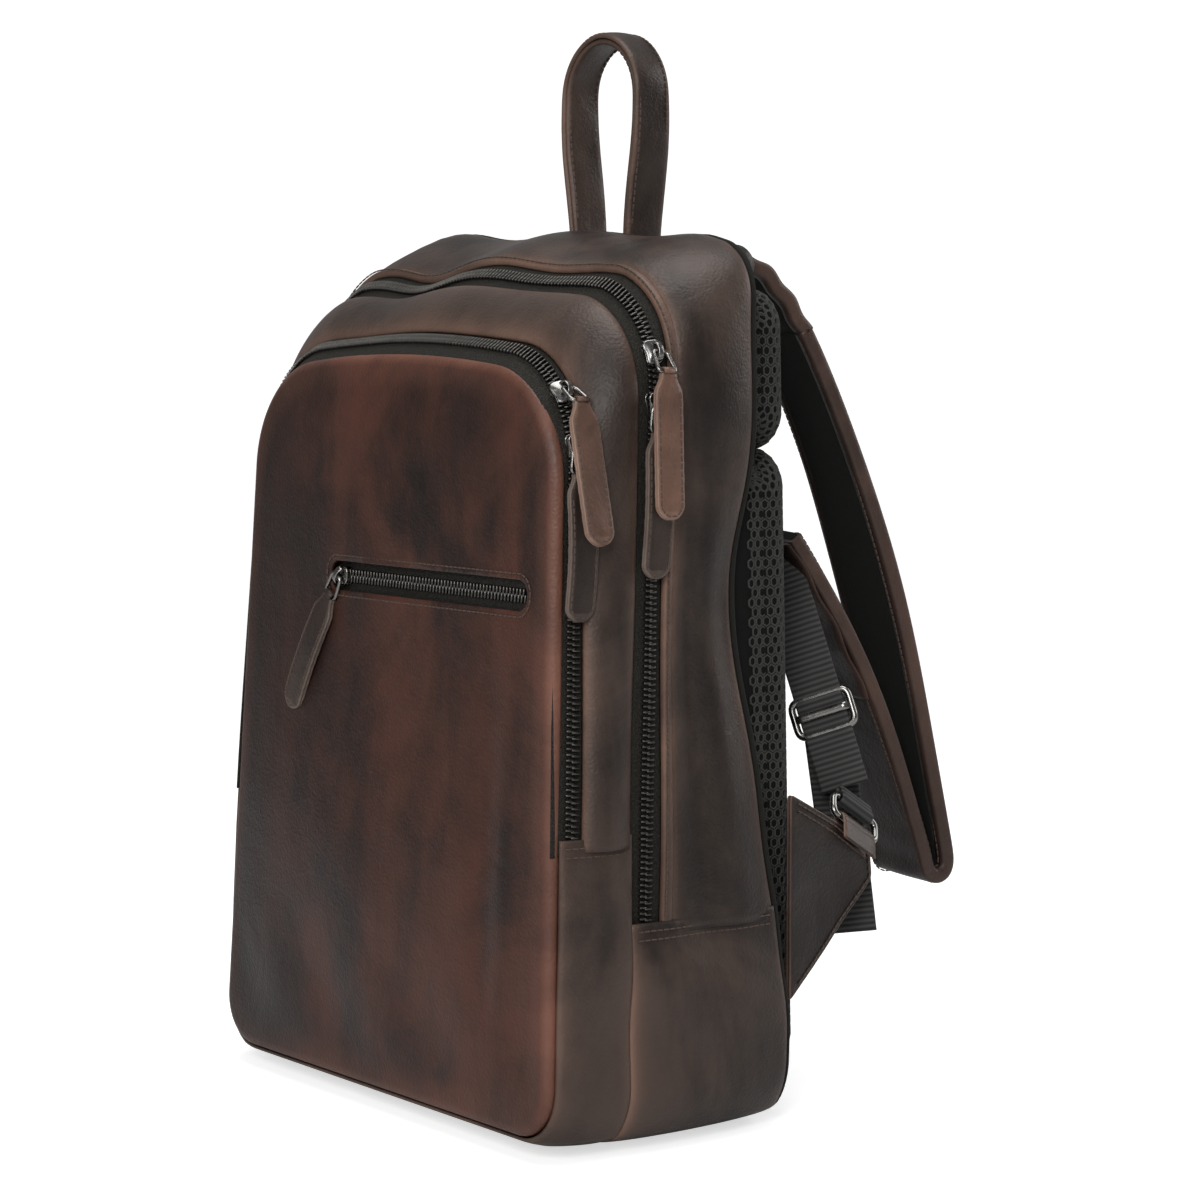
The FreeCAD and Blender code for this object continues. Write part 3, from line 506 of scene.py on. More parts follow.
def set_along(name, points, along, off, piece, material):
    """A real mesh of one small piece set at each point."""
    row = bpy.data.meshes.new(name)
    row.from_pydata([tuple(p) for p in points], [], [])
    row.attributes.new("along", "FLOAT_VECTOR", "POINT").data.foreach_set(
        "vector", np.asarray(along, np.float32).ravel())
    row.attributes.new("off", "FLOAT_VECTOR", "POINT").data.foreach_set(
        "vector", np.asarray(off, np.float32).ravel())
    holder = bpy.data.objects.new(name, row)
    bpy.context.scene.collection.objects.link(holder)
    maker = holder.modifiers.new("row", "NODES")
    maker.node_group = placer
    sockets = {s.name: s.identifier for s in placer.interface.items_tree if s.in_out == "INPUT"}
    maker[sockets["Piece"]] = piece
    maker[sockets["Finish"]] = material
    bpy.context.view_layer.update()
    graph = bpy.context.evaluated_depsgraph_get()
    mesh = bpy.data.meshes.new_from_object(holder.evaluated_get(graph))
    bpy.data.objects.remove(holder)
    mesh.name = name
    result = bpy.data.objects.new(name, mesh)
    bpy.context.scene.collection.objects.link(result)
    if not mesh.materials:
        mesh.materials.append(material)
    return result


def march(points, normals, pitch, start=0.0):
    """Evenly spaced points, directions and normals along a line."""
    step = np.linalg.norm(np.diff(points, axis=0), axis=1)
    length = np.concatenate([[0], np.cumsum(step)])
    count = max(int((length[-1] - start) / pitch), 1)
    stops = start + pitch * (np.arange(count) + 0.5)
    spots = np.stack([np.interp(stops, length, points[:, i]) for i in range(3)], -1)
    ahead = np.stack([np.interp(stops + 3e-4, length, points[:, i]) for i in range(3)], -1)
    behind = np.stack([np.interp(stops - 3e-4, length, points[:, i]) for i in range(3)], -1)
    off = np.stack([np.interp(stops, length, normals[:, i]) for i in range(3)], -1)
    along = ahead - behind
    return spots, along / np.linalg.norm(along, axis=1, keepdims=True), off


# ---- Zip teeth
# Gunmetal teeth in two rows that mesh at the middle, 2.75 mm apart in each row.
gunmetal = speckled("gunmetal", dict(Scale=420.0, Detail=5.0), (0.036, 0.034, 0.031), (0.135, 0.128, 0.118),
                    gloss=(0.28, 0.45), Metallic=1.0)


def rounded_block(name, sizes, bevel, segments=1):
    """Small bevelled block about its own middle, used as the master of a repeat."""
    work = bmesh.new()
    bmesh.ops.create_cube(work, size=1.0)
    bmesh.ops.scale(work, vec=sizes, verts=work.verts)
    bmesh.ops.bevel(work, geom=work.edges[:], offset=bevel, segments=segments, affect="EDGES", profile=0.6)
    mesh = bpy.data.meshes.new(name)
    work.to_mesh(mesh)
    work.free()
    mesh.shade_smooth()
    block = bpy.data.objects.new(name, mesh)
    bpy.context.scene.collection.objects.link(block)
    return block


tooth = rounded_block("tooth_master", (0.0011, 0.0040, 0.0022), 0.00035)
stitch = rounded_block("stitch_master", (0.0030, 0.0008, 0.0008), 0.00033, 2)


def teeth_along(name, points, normals, sides):
    """Two meshing rows of teeth; sides is the direction across the tape."""
    pitch = 0.00275
    rows = [march(points + sides * row * 0.00150, normals, pitch, shift)
            for row, shift in ((-1, 0.0), (1, pitch / 2))]
    return set_along(name, *(np.concatenate(part) for part in zip(*rows)), tooth, gunmetal)


def tape_teeth(name, y, seam):
    first = turn_at(np.array([y]), seam)[0]
    t = np.linspace(first, 1 - first, 900)
    points, normals = on_bag(np.full(900, y), t, 0.0001)
    near, _ = on_bag(np.full(900, y - 1e-3), t, 0.0001)
    sides = points - near
    sides = sides / np.linalg.norm(sides, axis=1, keepdims=True)
    return teeth_along(name, points, normals, sides)


settle(tape_teeth("pocket_zip_teeth", -0.0596, POCKET_SEAM), "bag", "zip_metal", "pocket_zip_teeth")
settle(tape_teeth("main_zip_teeth", -0.016, MAIN_SEAM), "bag", "zip_metal", "main_zip_teeth")

# ---- Binding behind the main zip
# A narrow folded leather edge that stands proud of the rear gusset, rubbed light.
binding = body_strip("main_zip_binding", -0.0068, 0.0004, above(MAIN_SEAM - 0.005), 0.0034,
                     pillow(0.0012, 0.6), side_leather, rise=0.0008, count=8, wear=(0.9, 0.9))
settle(binding, "bag", "side_leather", "main_zip_binding")

# ---- Front panel
# One soft reddish panel with a rolled rim, a slot for the window zip, and below the
# middle a slight belly.  The panel is turned over its edge onto the pocket tape.
rim = 0.0055
turn_t = np.linspace(-0.5, 0.5, 361)[:-1]


def face_push(x, z):
    belly = 0.0085 * hill(z, 0.125, 0.085) * hill(x, -0.02, 0.105)
    belly = belly + 0.0030 * hill(z, 0.30, 0.05) * hill(x, -0.03, 0.08)
    edge_fold = 0.0018 * hill(x, 0.112 - 0.02 * z, 0.012) * hill(z, 0.13, 0.08)
    edge_fold = edge_fold - 0.0022 * hill(x, 0.094, 0.010) * hill(z, 0.15, 0.07)
    low = 0.0014 * np.sin(x * 70 + z * 30) * hill(z, 0.05, 0.03)
    top = 0.0014 * hill(z, 0.345, 0.02) * hill(x, 0.0, 0.09)
    return belly + edge_fold + low + top


def face_point(x, z_flat, depth):
    """Point of the leaning face plane at a depth behind it."""
    lean = math.radians(2.7)
    y = -0.071 + z_flat * math.sin(lean) + depth * math.cos(lean)
    return np.stack([x, y, z_flat * math.cos(lean) - depth * math.sin(lean)], -1)


def flat_outline(inset):
    """Outline of the face in its own plane (x, height), moved inward."""
    depth = np.full(len(turn_t), -0.071)
    p = outline(depth, turn_t)
    q = outline(depth, turn_t + 1e-4) - outline(depth, turn_t - 1e-4)
    lean = math.radians(2.7)
    flat_xz = np.stack([p[:, 0], p[:, 2] / math.cos(lean)], -1)
    tangent = np.stack([q[:, 0], q[:, 2] / math.cos(lean)], -1)
    tangent = tangent / np.linalg.norm(tangent, axis=1, keepdims=True)
    outward = np.stack([tangent[:, 1], -tangent[:, 0]], -1)
    return flat_xz - outward * inset


heart = np.array([0.0, 0.2])
rings = []
wear_and_highlight_rings = []
edge_line = flat_outline(rim)
for share in np.linspace(0.02, 1.0, 60) ** 0.8:
    xz = heart + (edge_line - heart) * share
    rings.append(face_point(xz[:, 0], xz[:, 1], -face_push(xz[:, 0], xz[:, 1]) * (1 - share ** 8)))
    wear_and_highlight_rings.append(np.full(len(xz), 0.25 * max(share - 0.93, 0) / 0.07))
for a in np.linspace(12, 100, 8):
    xz = flat_outline(rim - (rim + 0.0006) * math.sin(math.radians(a)))
    rings.append(face_point(xz[:, 0], xz[:, 1], rim * (1 - math.cos(math.radians(a)))))
    wear_and_highlight_rings.append(np.full(len(xz), 0.25 + 0.65 * math.sin(math.radians(a))))
for inset, depth in ((0.0012, rim * 1.25), (0.0035, rim * 1.05), (0.008, 0.0030)):
    xz = flat_outline(inset)
    rings.append(face_point(xz[:, 0], xz[:, 1], depth))
    wear_and_highlight_rings.append(np.full(len(xz), 0.2))
for share in np.linspace(0.92, 0.03, 16):
    xz = heart + (edge_line - heart) * share
    rings.append(face_point(xz[:, 0], xz[:, 1], 0.0026 - face_push(xz[:, 0], xz[:, 1]) * (1 - share ** 8)))
    wear_and_highlight_rings.append(np.zeros(len(xz)))
wear_and_highlight_rings = np.array(wear_and_highlight_rings)
# Painted highlight: the right side of the panel, around mid-height, is pushed towards the rubbed colour, on
# top of the real wear of the rolled rim.
right_highlight = np.clip((np.array(rings)[:, :, 0] - 0.112) / 0.022, 0, 1)
wear_and_highlight_rings = np.clip(wear_and_highlight_rings + 0.26 * right_highlight * hill(np.array(rings)[:, :, 2], 0.20, 0.13), 0, 1)
panel = ring_loft("front_panel", rings, panel_leather, wear_and_highlight_rings, flat_ends=False)


def slot_line(grow, count=16):
    """Rounded slot of the window zip in the face plane."""
    low, high = 0.261 - grow, 0.276 + grow
    left, right = -0.051 - grow, 0.118 + grow
    radius = (high - low) / 2 * 0.92
    points = []
    for cx, cz, a0 in ((right - radius, low + radius, -90), (right - radius, high - radius, 0),
                       (left + radius, high - radius, 90), (left + radius, low + radius, 180)):
        for a in np.radians(np.linspace(a0, a0 + 90, count)):
            points.append((cx + radius * math.cos(a), cz + radius * math.sin(a)))
    return np.array(points)


cut_line = slot_line(0.0)
cutter = ring_loft("slot_cutter", [face_point(cut_line[:, 0], cut_line[:, 1], np.full(len(cut_line), d))
                                   for d in (-0.012, 0.012)], panel_leather)
trim = panel.modifiers.new("slot", "BOOLEAN")
trim.operation = "DIFFERENCE"
trim.solver = "EXACT"
trim.object = cutter
graph = bpy.context.evaluated_depsgraph_get()
trimmed = bpy.data.meshes.new_from_object(panel.evaluated_get(graph))
panel.modifiers.clear()
panel.data = trimmed
bpy.data.objects.remove(cutter)
place = np.zeros(len(trimmed.vertices) * 3)
trimmed.vertices.foreach_get("co", place)
x, z = place[0::3], place[2::3]
# Painted shade with smoke streaks: the left side of the panel darkens towards its edge; three more darker
# patches sit left below the window zip, low in the middle and near the top.
smoke_and_shade_level = 0.85 * np.clip((-0.045 - x) / 0.075, 0, 1) + 0.55 * hill(x, -0.055, 0.030) * hill(z, 0.215, 0.045)
smoke_and_shade_level = smoke_and_shade_level + 0.40 * hill(x, -0.01, 0.05) * hill(z, 0.125, 0.030)
smoke_and_shade_level = smoke_and_shade_level + 0.35 * hill(x, 0.06, 0.03) * hill(z, 0.345, 0.03)
trimmed.attributes.new("smoke_and_shade", "FLOAT", "POINT").data.foreach_set(
    "value", np.clip(smoke_and_shade_level, 0, 0.9).astype(np.float32))
settle(panel, "bag", "panel_leather", "front_panel")

# ---- Window zip
# Tape and a small chain of teeth under the slot; the pouch behind it is the plain CAD
# piece, out of sight.
window_line = []
for x in np.linspace(-0.056, 0.123, 60):
    section = [(0.2535, 0.0030), (0.2835, 0.0030), (0.2835, 0.0040), (0.2535, 0.0040)]
    window_line.append([face_point(np.array(x), np.array(h), np.array(d)) for h, d in section])
window_tape = ring_loft("window_zip_tape", window_line, woven)
window_tape.data.shade_flat()
settle(window_tape, "bag", "zip_tape", "window_zip_tape")
x = np.linspace(-0.049, 0.116, 400)
points = face_point(x, np.full(400, 0.2685), np.full(400, 0.0020))
face_out = np.array([0, -math.cos(math.radians(2.7)), math.sin(math.radians(2.7))])
face_up = np.array([0, math.sin(math.radians(2.7)), math.cos(math.radians(2.7))])
window_teeth = teeth_along("window_zip_teeth", points, np.tile(face_out, (400, 1)),
                           np.tile(face_up, (400, 1)))
settle(window_teeth, "bag", "zip_metal", "window_zip_teeth")

# ---- Stitching
# Dark waxed thread, about seven stitches to the inch, sunk a little into the leather.
thread = speckled("stitching thread", dict(Scale=900.0, Detail=3.0), (0.022, 0.014, 0.011),
                  (0.105, 0.062, 0.044), Roughness=0.75)
STITCH_PITCH = 0.0037


def stitches(name, rows, body):
    """Rows of stitches, each a line of points with its normals."""
    marched = [march(points, normals, STITCH_PITCH) for points, normals in rows]
    sewn = set_along(name, *(np.concatenate(part) for part in zip(*marched)), stitch, thread)
    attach(sewn, body)
    return sewn


def body_row(y, first, last, rise, count=500):
    t = np.linspace(first, last, count)
    return on_bag(np.full(count, y), t, rise)


def arch_row(y, seam, rise):
    first = turn_at(np.array([y]), seam)[0]
    return body_row(y, first, 1 - first, rise)


def level_row(hand, y0, y1, seam, rise, count=60):
    """Row across a side wall at the height of a base seam."""
    y = np.linspace(y0, y1, count)
    t = turn_at(y, seam)
    return on_bag(y, t if hand > 0 else 1 - t, rise)


rows = [arch_row(-0.0518, POCKET_SEAM + 0.003, 0.0010), arch_row(-0.0277, POCKET_SEAM + 0.003, 0.0008),
        arch_row(-0.0052, MAIN_SEAM + 0.003, 0.0026), arch_row(0.0022, MAIN_SEAM + 0.003, 0.0012)]
for hand in (1, -1):
    for drop in (0.002, 0.0062):
        rows.append(level_row(hand, -0.0635, -0.027, POCKET_SEAM - drop, 0.0016 + 0.05 * drop))
        rows.append(level_row(hand, -0.0225, 0.071, MAIN_SEAM - drop, 0.0026 + 0.05 * drop))
stitches("body_stitches", rows, "bag")
close_up = slot_line(0.0028, 24)
close_up = np.concatenate([close_up, close_up[:1]])
slot_points = face_point(close_up[:, 0], close_up[:, 1],
                         -face_push(close_up[:, 0], close_up[:, 1]) - 0.0001)
stitches("window_stitches", [(slot_points, np.tile(face_out, (len(slot_points), 1)))], "bag")

# ---- Sewn flat pieces
# A closed outline in a plane becomes a soft two-layer piece with rounded edges.
def plate_piece(name, flat_points, place, half, material, edge=0.0009, dome=0.0, groove=0.0,
                worn_edge=0.6):
    """flat_points run round the outline; place(u, v, w) puts them in the row frame."""
    flat_points = np.asarray(flat_points, float)
    middle = flat_points.mean(0)
    ahead = np.roll(flat_points, -1, 0) - np.roll(flat_points, 1, 0)
    ahead = ahead / np.linalg.norm(ahead, axis=1, keepdims=True)
    inward = np.stack([-ahead[:, 1], ahead[:, 0]], -1)
    if np.sum(inward * (middle - flat_points)) < 0:
        inward = -inward
    loops, wear = [], []

    def add(inset, w, share=1.0, mark=0.0):
        p = flat_points + inward * inset
        p = middle + (p - middle) * share
        crown = dome * (1 - share ** 2)
        loops.append(place(p[:, 0], p[:, 1], w + math.copysign(crown, w) if w else w + 0 * p[:, 0]))
        wear.append(mark)

    for share in (0.04, 0.3, 0.55, 0.78, 0.9):
        add(edge * 1.6, half, share)
    for a in (90, 60, 30, 5):
        add(edge * (1 - math.cos(math.radians(a))), half - edge * (1 - math.sin(math.radians(a))), 1.0,
            worn_edge * math.cos(math.radians(a)))
    if groove:
        add(groove, 0.00012, 1.0, 0.0)
        add(groove, -0.00012, 1.0, 0.0)
    for a in (5, 30, 60, 90):
        add(edge * (1 - math.cos(math.radians(a))), -half + edge * (1 - math.sin(math.radians(a))), 1.0,
            worn_edge * math.cos(math.radians(a)))
    for share in (0.9, 0.78, 0.55, 0.3, 0.04):
        add(edge * 1.6, -half, share)
    loops = np.array(loops)
    wear = np.array(wear)[:, None] * np.ones((1, len(flat_points)))
    return ring_loft(name, loops, material, wear, flat_ends=False)


def frame_place(origin, u_way, v_way, w_way):
    origin, u_way, v_way, w_way = (np.asarray(a, float) for a in (origin, u_way, v_way, w_way))

    def place(u, v, w):
        u, v, w = np.broadcast_arrays(u, v, w)
        return origin + u[:, None] * u_way + v[:, None] * v_way + w[:, None] * w_way
    return place


def unit(v):
    v = np.asarray(v, float)
    return v / np.linalg.norm(v)


def resample(points, count, closed=True):
    points = np.asarray(points, float)
    if closed:
        points = np.concatenate([points, points[:1]])
    length = np.concatenate([[0], np.cumsum(np.linalg.norm(np.diff(points, axis=0), axis=1))])
    stops = np.linspace(0, length[-1], count + (1 if closed else 0))
    result = np.stack([np.interp(stops, length, points[:, i]) for i in range(points.shape[1])], -1)
    return result[:-1] if closed else result


def tube(name, path, radius, material, around=14):
    """Round wire along a closed path."""
    path = np.asarray(path, float)
    ahead = np.roll(path, -1, 0) - np.roll(path, 1, 0)
    ahead = ahead / np.linalg.norm(ahead, axis=1, keepdims=True)
    flat_normal = unit(np.cross(path[len(path) // 3] - path[0], path[2 * len(path) // 3] - path[0]))
    side = np.cross(ahead, flat_normal)
    side = side / np.linalg.norm(side, axis=1, keepdims=True)
    up = np.cross(side, ahead)
    a = np.linspace(0, 2 * math.pi, around, endpoint=False)
    round_section = np.cos(a)[None, :, None] * side[:, None] + np.sin(a)[None, :, None] * up[:, None]
    rings = path[:, None] + radius * round_section
    return ring_loft(name, rings, material, loop=True)


def round_loop(corners, radius, count=7):
    """Closed path through corner points with rounded corners."""
    corners = np.asarray(corners, float)
    path = []
    for i in range(len(corners)):
        p, before, after = corners[i], corners[i - 1], corners[(i + 1) % len(corners)]
        a, b = unit(before - p), unit(after - p)
        for s in np.linspace(0, 1, count):
            path.append(p + a * radius * (1 - s) ** 2 + b * radius * s ** 2)
    return resample(np.array(path), 72)


# ---- Nickel fittings
# Antique nickel: dark in the hollows, brighter where handled.
nickel = speckled("antique nickel", dict(Scale=260.0, Detail=6.0, Roughness=0.6), (0.10, 0.096, 0.090),
                  (0.36, 0.35, 0.335), gloss=(0.14, 0.38), Metallic=1.0)

# ---- Sliders, wire links and leather pulls
# Each slider is a cast body with flared shoulders and an arched bridge; a wire link
# hangs from the bridge and a two-layer stitched leather pull from the link.
joint_at = {j["name"]: (np.array(j["pos_m"]), np.array(j["axis"]))
            for j in frame["joints"] if "pos_m" in j}
PULL_HEIGHT = 0.0054
SLIDERS = {
    "main_upper": (0.0003, 4.0, 0.0, pull_leather, 20.0, 0.0008),
    "main_lower": (0.0, 0.0, 0.002, dark_pull_leather, 0.0, 0.0),
    "pocket_upper": (0.0005, 16.5, 0.0, pull_leather, 27.0, 0.0010),
    "pocket_lower": (0.0007, 2.8, 0.003, dark_pull_leather, 8.0, 0.0),
    "window": (0.0, None, 0.0015, dark_pull_leather, 0.0, 0.0),
}


def slider_outline():
    """Plan of the slider plate: wide rounded shoulders, narrow tail."""
    right = [(0.0, 0.0062), (0.0024, 0.0061), (0.0040, 0.0053), (0.0047, 0.0038), (0.0046, 0.0020),
             (0.0038, 0.0005), (0.0034, -0.0015), (0.0034, -0.0042), (0.0029, -0.0053), (0.0015, -0.0058)]
    left = [(-x, y) for x, y in right[:0:-1]]
    return resample(np.array(right + [(0.0, -0.0059)] + left), 64)


def arch_band(name, place, half_long, high, wide, thick, material):
    """Arched strap of metal over the slider plate, along v."""
    rings = []
    for a in np.linspace(0, math.pi, 25):
        v, w = -math.cos(a) * half_long, (math.sin(a) ** 0.55) * high
        nv, nw = -math.cos(a) * 0.7, math.sin(a)
        size = math.hypot(nv, nw)
        nv, nw = nv / size, nw / size
        half_wide = wide / 2 * (0.85 + 0.25 * abs(math.cos(a)))
        section = []
        for b in np.linspace(0, 2 * math.pi, 16, endpoint=False):
            su = math.copysign(abs(math.cos(b)) ** 0.6, math.cos(b)) * half_wide
            sn = math.copysign(abs(math.sin(b)) ** 0.6, math.sin(b)) * thick / 2
            section.append((su, v + nv * sn, w + nw * sn))
        section = np.array(section)
        rings.append(place(section[:, 0], section[:, 1], section[:, 2]))
    return ring_loft(name, rings, material)


def pull_half(v, long, half_wide, neck):
    """Half width of the pull: a neck at the link, straight sides, a round end."""
    end = long - half_wide
    tip = half_wide * np.sqrt(np.clip(1 - ((v - end) / half_wide) ** 2, 0, 1))
    body = np.interp(v, [0.0, 0.0030, 0.0095, 0.0120], [neck, neck, half_wide * 0.96, half_wide])
    return np.where(v > end, tip, body)


LEAF = [(-0.93, 1), (-0.6, 1), (-0.2, 1), (0.2, 1), (0.6, 1), (0.93, 1), (0.985, 0.86), (1, 0.55), (1, 0.14),
        (0.965, 0), (1, -0.14), (1, -0.55), (0.985, -0.86), (0.93, -1), (0.6, -1), (0.2, -1), (-0.2, -1),
        (-0.6, -1), (-0.93, -1), (-0.985, -0.86), (-1, -0.55), (-1, -0.14), (-0.965, 0), (-1, 0.14),
        (-1, 0.55), (-0.985, 0.86)]


def join_pieces(name, parts):
    """One object from several, keeping their faces and finishes."""
    work = bmesh.new()
    materials = []
    for part in parts:
        offset = len(work.faces)
        work.from_mesh(part.data)
        work.faces.ensure_lookup_table()
        material = part.data.materials[0]
        if material not in materials:
            materials.append(material)
        for face in work.faces[offset:]:
            face.material_index = materials.index(material)
    mesh = bpy.data.meshes.new(name)
    work.to_mesh(mesh)
    work.free()
    for material in materials:
        mesh.materials.append(material)
    joined = bpy.data.objects.new(name, mesh)
    bpy.context.scene.collection.objects.link(joined)
    for part in parts:
        bpy.data.objects.remove(part)
    return joined


for tag, (lift, pull_turn, sag, finish_leather, tilt, high_pin) in SLIDERS.items():
    pin, axis = joint_at[tag + "_link_lift"]
    knot, _ = joint_at[tag + "_pull_fold"]
    if tag == "window":
        along = np.array([1.0, 0, 0])
        out = face_out
        link_way = unit(knot - pin)
        pull_way = link_way
    else:
        axis = -axis if axis[1] < 0 else axis
        hinge = joint_at.get(tag + "_travel")
        slope = math.atan2(axis[2], axis[1])
        up_run = np.array([0, -math.sin(slope), math.cos(slope)])
        flat_x = np.array([1.0, 0, 0])
        link_way = unit(knot - pin)
        turn = math.radians(pull_turn)
        pull_way = unit(flat_x * math.sin(turn) - up_run * math.cos(turn))
        if hinge is not None and tag.endswith("upper"):
            out = unit((pin - hinge[0]) - axis * np.dot(pin - hinge[0], axis))
        else:
            out = unit(np.cross(axis, unit(np.array(next(
                j["axis"] for j in frame["joints"] if j["name"] == tag + "_travel"))) * -1))
            out = out if out[0] > 0 else -out
        along = unit(np.cross(out, axis))
        along = along if along[2] > 0 else -along
    across_way = unit(np.cross(along, out))
    spot = pin - out * (PULL_HEIGHT + lift + high_pin)
    bridge_u, bridge_v, bridge_out = across_way, along, out
    lean_in = math.radians(tilt) * (1 if across_way[1] > 0 else -1)
    across_way, out = (across_way * math.cos(lean_in) + out * math.sin(lean_in),
                       out * math.cos(lean_in) - across_way * math.sin(lean_in))
    plan = slider_outline()
    top = plate_piece(tag + "_top", plan, frame_place(spot + out * (lift + 0.0029), across_way, along, out),
                      0.0008, nickel, edge=0.0006, dome=0.0005)
    low = plate_piece(tag + "_low", plan * 0.97,
                      frame_place(spot + out * (lift - 0.0006), across_way, along, out),
                      0.0006, nickel, edge=0.0005)
    post_plan = resample(np.array([(0.0012, 0.0030), (-0.0012, 0.0030), (0, 0.0058)]), 30)
    post = plate_piece(tag + "_post", post_plan,
                       frame_place(spot + out * (lift + 0.0012), across_way, along, out),
                       0.0016, nickel, edge=0.0003)
    walls = []
    for hand in (-1, 1):
        line = np.array([(hand * 0.0043, 0.0035), (hand * 0.0034, -0.0005), (hand * 0.0032, -0.0050)])
        wall_plan = np.concatenate([line + (0.0005 * hand, 0), line[::-1] - (0.0002 * hand, 0)])
        walls.append(plate_piece(tag + "_wall%d" % hand, resample(wall_plan, 40),
                                 frame_place(spot + out * (lift + 0.0017), across_way, along, out),
                                 0.0014, nickel, edge=0.0003))
    out = bridge_out
    if tag == "window":
        bridge_u, bridge_v = unit(np.cross(unit(link_way), out)), unit(link_way)
    bridge = arch_band(tag + "_bridge", frame_place(spot + out * (lift + 0.0026), bridge_u, bridge_v, out),
                       0.0044, 0.0043 + high_pin, 0.0032, 0.0010, nickel)
    body = join_pieces(tag + "_slider_body", [top, low, post, bridge] + walls)
    body.data.shade_smooth()
    settle(body, tag + "_slider", "fitting_metal", tag + "_slider")

    wide = axis if tag != "window" else unit(np.cross(link_way, out))
    corners = [pin - wide * 0.0040, pin + wide * 0.0040,
               knot + wide * 0.0052 + link_way * 0.0004, knot - wide * 0.0052 + link_way * 0.0004]
    wire = tube(tag + "_link_wire", round_loop(corners, 0.0030), 0.00098, nickel)
    settle(wire, tag + "_link", "fitting_metal", tag + "_link")

    face = unit(np.cross(wide, pull_way))
    face = face if np.dot(face, out) > 0 else -face
    half_leaf, long = 0.0080, 0.0700
    flat_place = frame_place(knot, wide, pull_way, face)

    def curled(u, v, w, flat_place=flat_place, sag=sag):
        v = np.broadcast_to(v, u.shape)
        bow = sag * np.sin(np.clip(v / 0.07, 0, 1) * math.pi) - sag * 0.2 * np.clip(v / 0.07, 0, 1) ** 2
        return flat_place(u, v, w + bow)

    stops = np.concatenate([np.linspace(0.0010, long - half_leaf, 40),
                            long - half_leaf * (1 - np.sin(np.linspace(0.06, math.pi / 2 - 0.04, 16)))])
    across_share, deep_share = (np.array(c, float) for c in zip(*LEAF))
    leaf_rings, leaf_wear = [], []
    for v in stops:
        half = float(pull_half(v, long, half_leaf, 0.0043))
        crown = 0.0004 * (1 - across_share ** 2) * np.sign(deep_share)
        rough_edge = 1 + 0.012 * math.sin(v * 900)
        leaf_rings.append(curled(across_share * half * rough_edge, np.full(26, v),
                                 deep_share * 0.00150 + crown))
        leaf_wear.append(0.95 * np.clip((np.abs(across_share) - 0.90) / 0.08, 0, 1) + 0.25 * (v > 0.066))
    leaf = ring_loft(tag + "_pull_leaf", leaf_rings, finish_leather, np.array(leaf_wear), flat_ends=False)
    loop_path = []
    for a in np.linspace(-115, 115, 15):
        loop_path.append((math.sin(math.radians(a)) * 0.0017, -math.cos(math.radians(a)) * 0.0017))
    loop_rings = []
    for w0, v0 in loop_path:
        n = unit(np.array([w0, v0]))
        section = [(su * 0.0032, v0 + n[1] * sn, w0 + n[0] * sn) for su, sn in
                   ((-1, -0.0006), (1, -0.0006), (1, 0.0006), (-1, 0.0006))]
        section = np.array(section)
        loop_rings.append(flat_place(section[:, 0], section[:, 1] + 0.0002, section[:, 2]))
    collar = ring_loft(tag + "_pull_loop", loop_rings, finish_leather)
    whole = join_pieces(tag + "_leather_pull", [leaf, collar])
    whole.data.shade_smooth()
    settle(whole, tag + "_pull", "pull_leather", tag + "_pull")
    sewn_v = np.concatenate([np.linspace(0.0095, long - half_leaf, 40),
                             np.linspace(long - half_leaf, long - 0.0019, 20)])
    sewn_u = np.clip(pull_half(sewn_v, long - 0.0017, half_leaf - 0.0017, 0.0026), 0.0002, None)
    sewn = np.concatenate([np.stack([sewn_u, sewn_v], -1), np.stack([-sewn_u, sewn_v], -1)[::-1]])
    pull_rows = []
    for hand in (1, -1):
        pull_rows.append((curled(sewn[:, 0], sewn[:, 1], hand * 0.00165 + 0 * sewn[:, 0]),
                          np.tile(face * hand, (len(sewn), 1))))
    stitches(tag + "_pull_stitches", pull_rows, tag + "_pull")

# ---- Handle
# Two layers of leather sewn face to back, standing in a narrow loop; its feet go down
# into the seam behind the top ridge and turn about it.
HANDLE_Y = 0.084
bend_z = 0.547 - 0.033
handle_knots = [(0.0236, 0.4370), (0.0243, 0.4480), (0.0262, 0.4620), (0.0300, 0.4860), (0.0312, 0.5000)]
handle_line = list(handle_knots)
for a in np.linspace(0, 180, 17):
    handle_line.append((0.0312 * math.cos(math.radians(a)), bend_z + 0.0312 * math.sin(math.radians(a))))
handle_line += [(-x, z) for x, z in handle_knots[::-1]]
handle_line = resample(np.array(handle_line), 150, closed=False)


def smooth_line(line, times=6):
    line = np.array(line)
    for _ in range(times):
        line[1:-1] = (line[:-2] + 2 * line[1:-1] + line[2:]) / 4
    return line


handle_line = smooth_line(handle_line, 8)


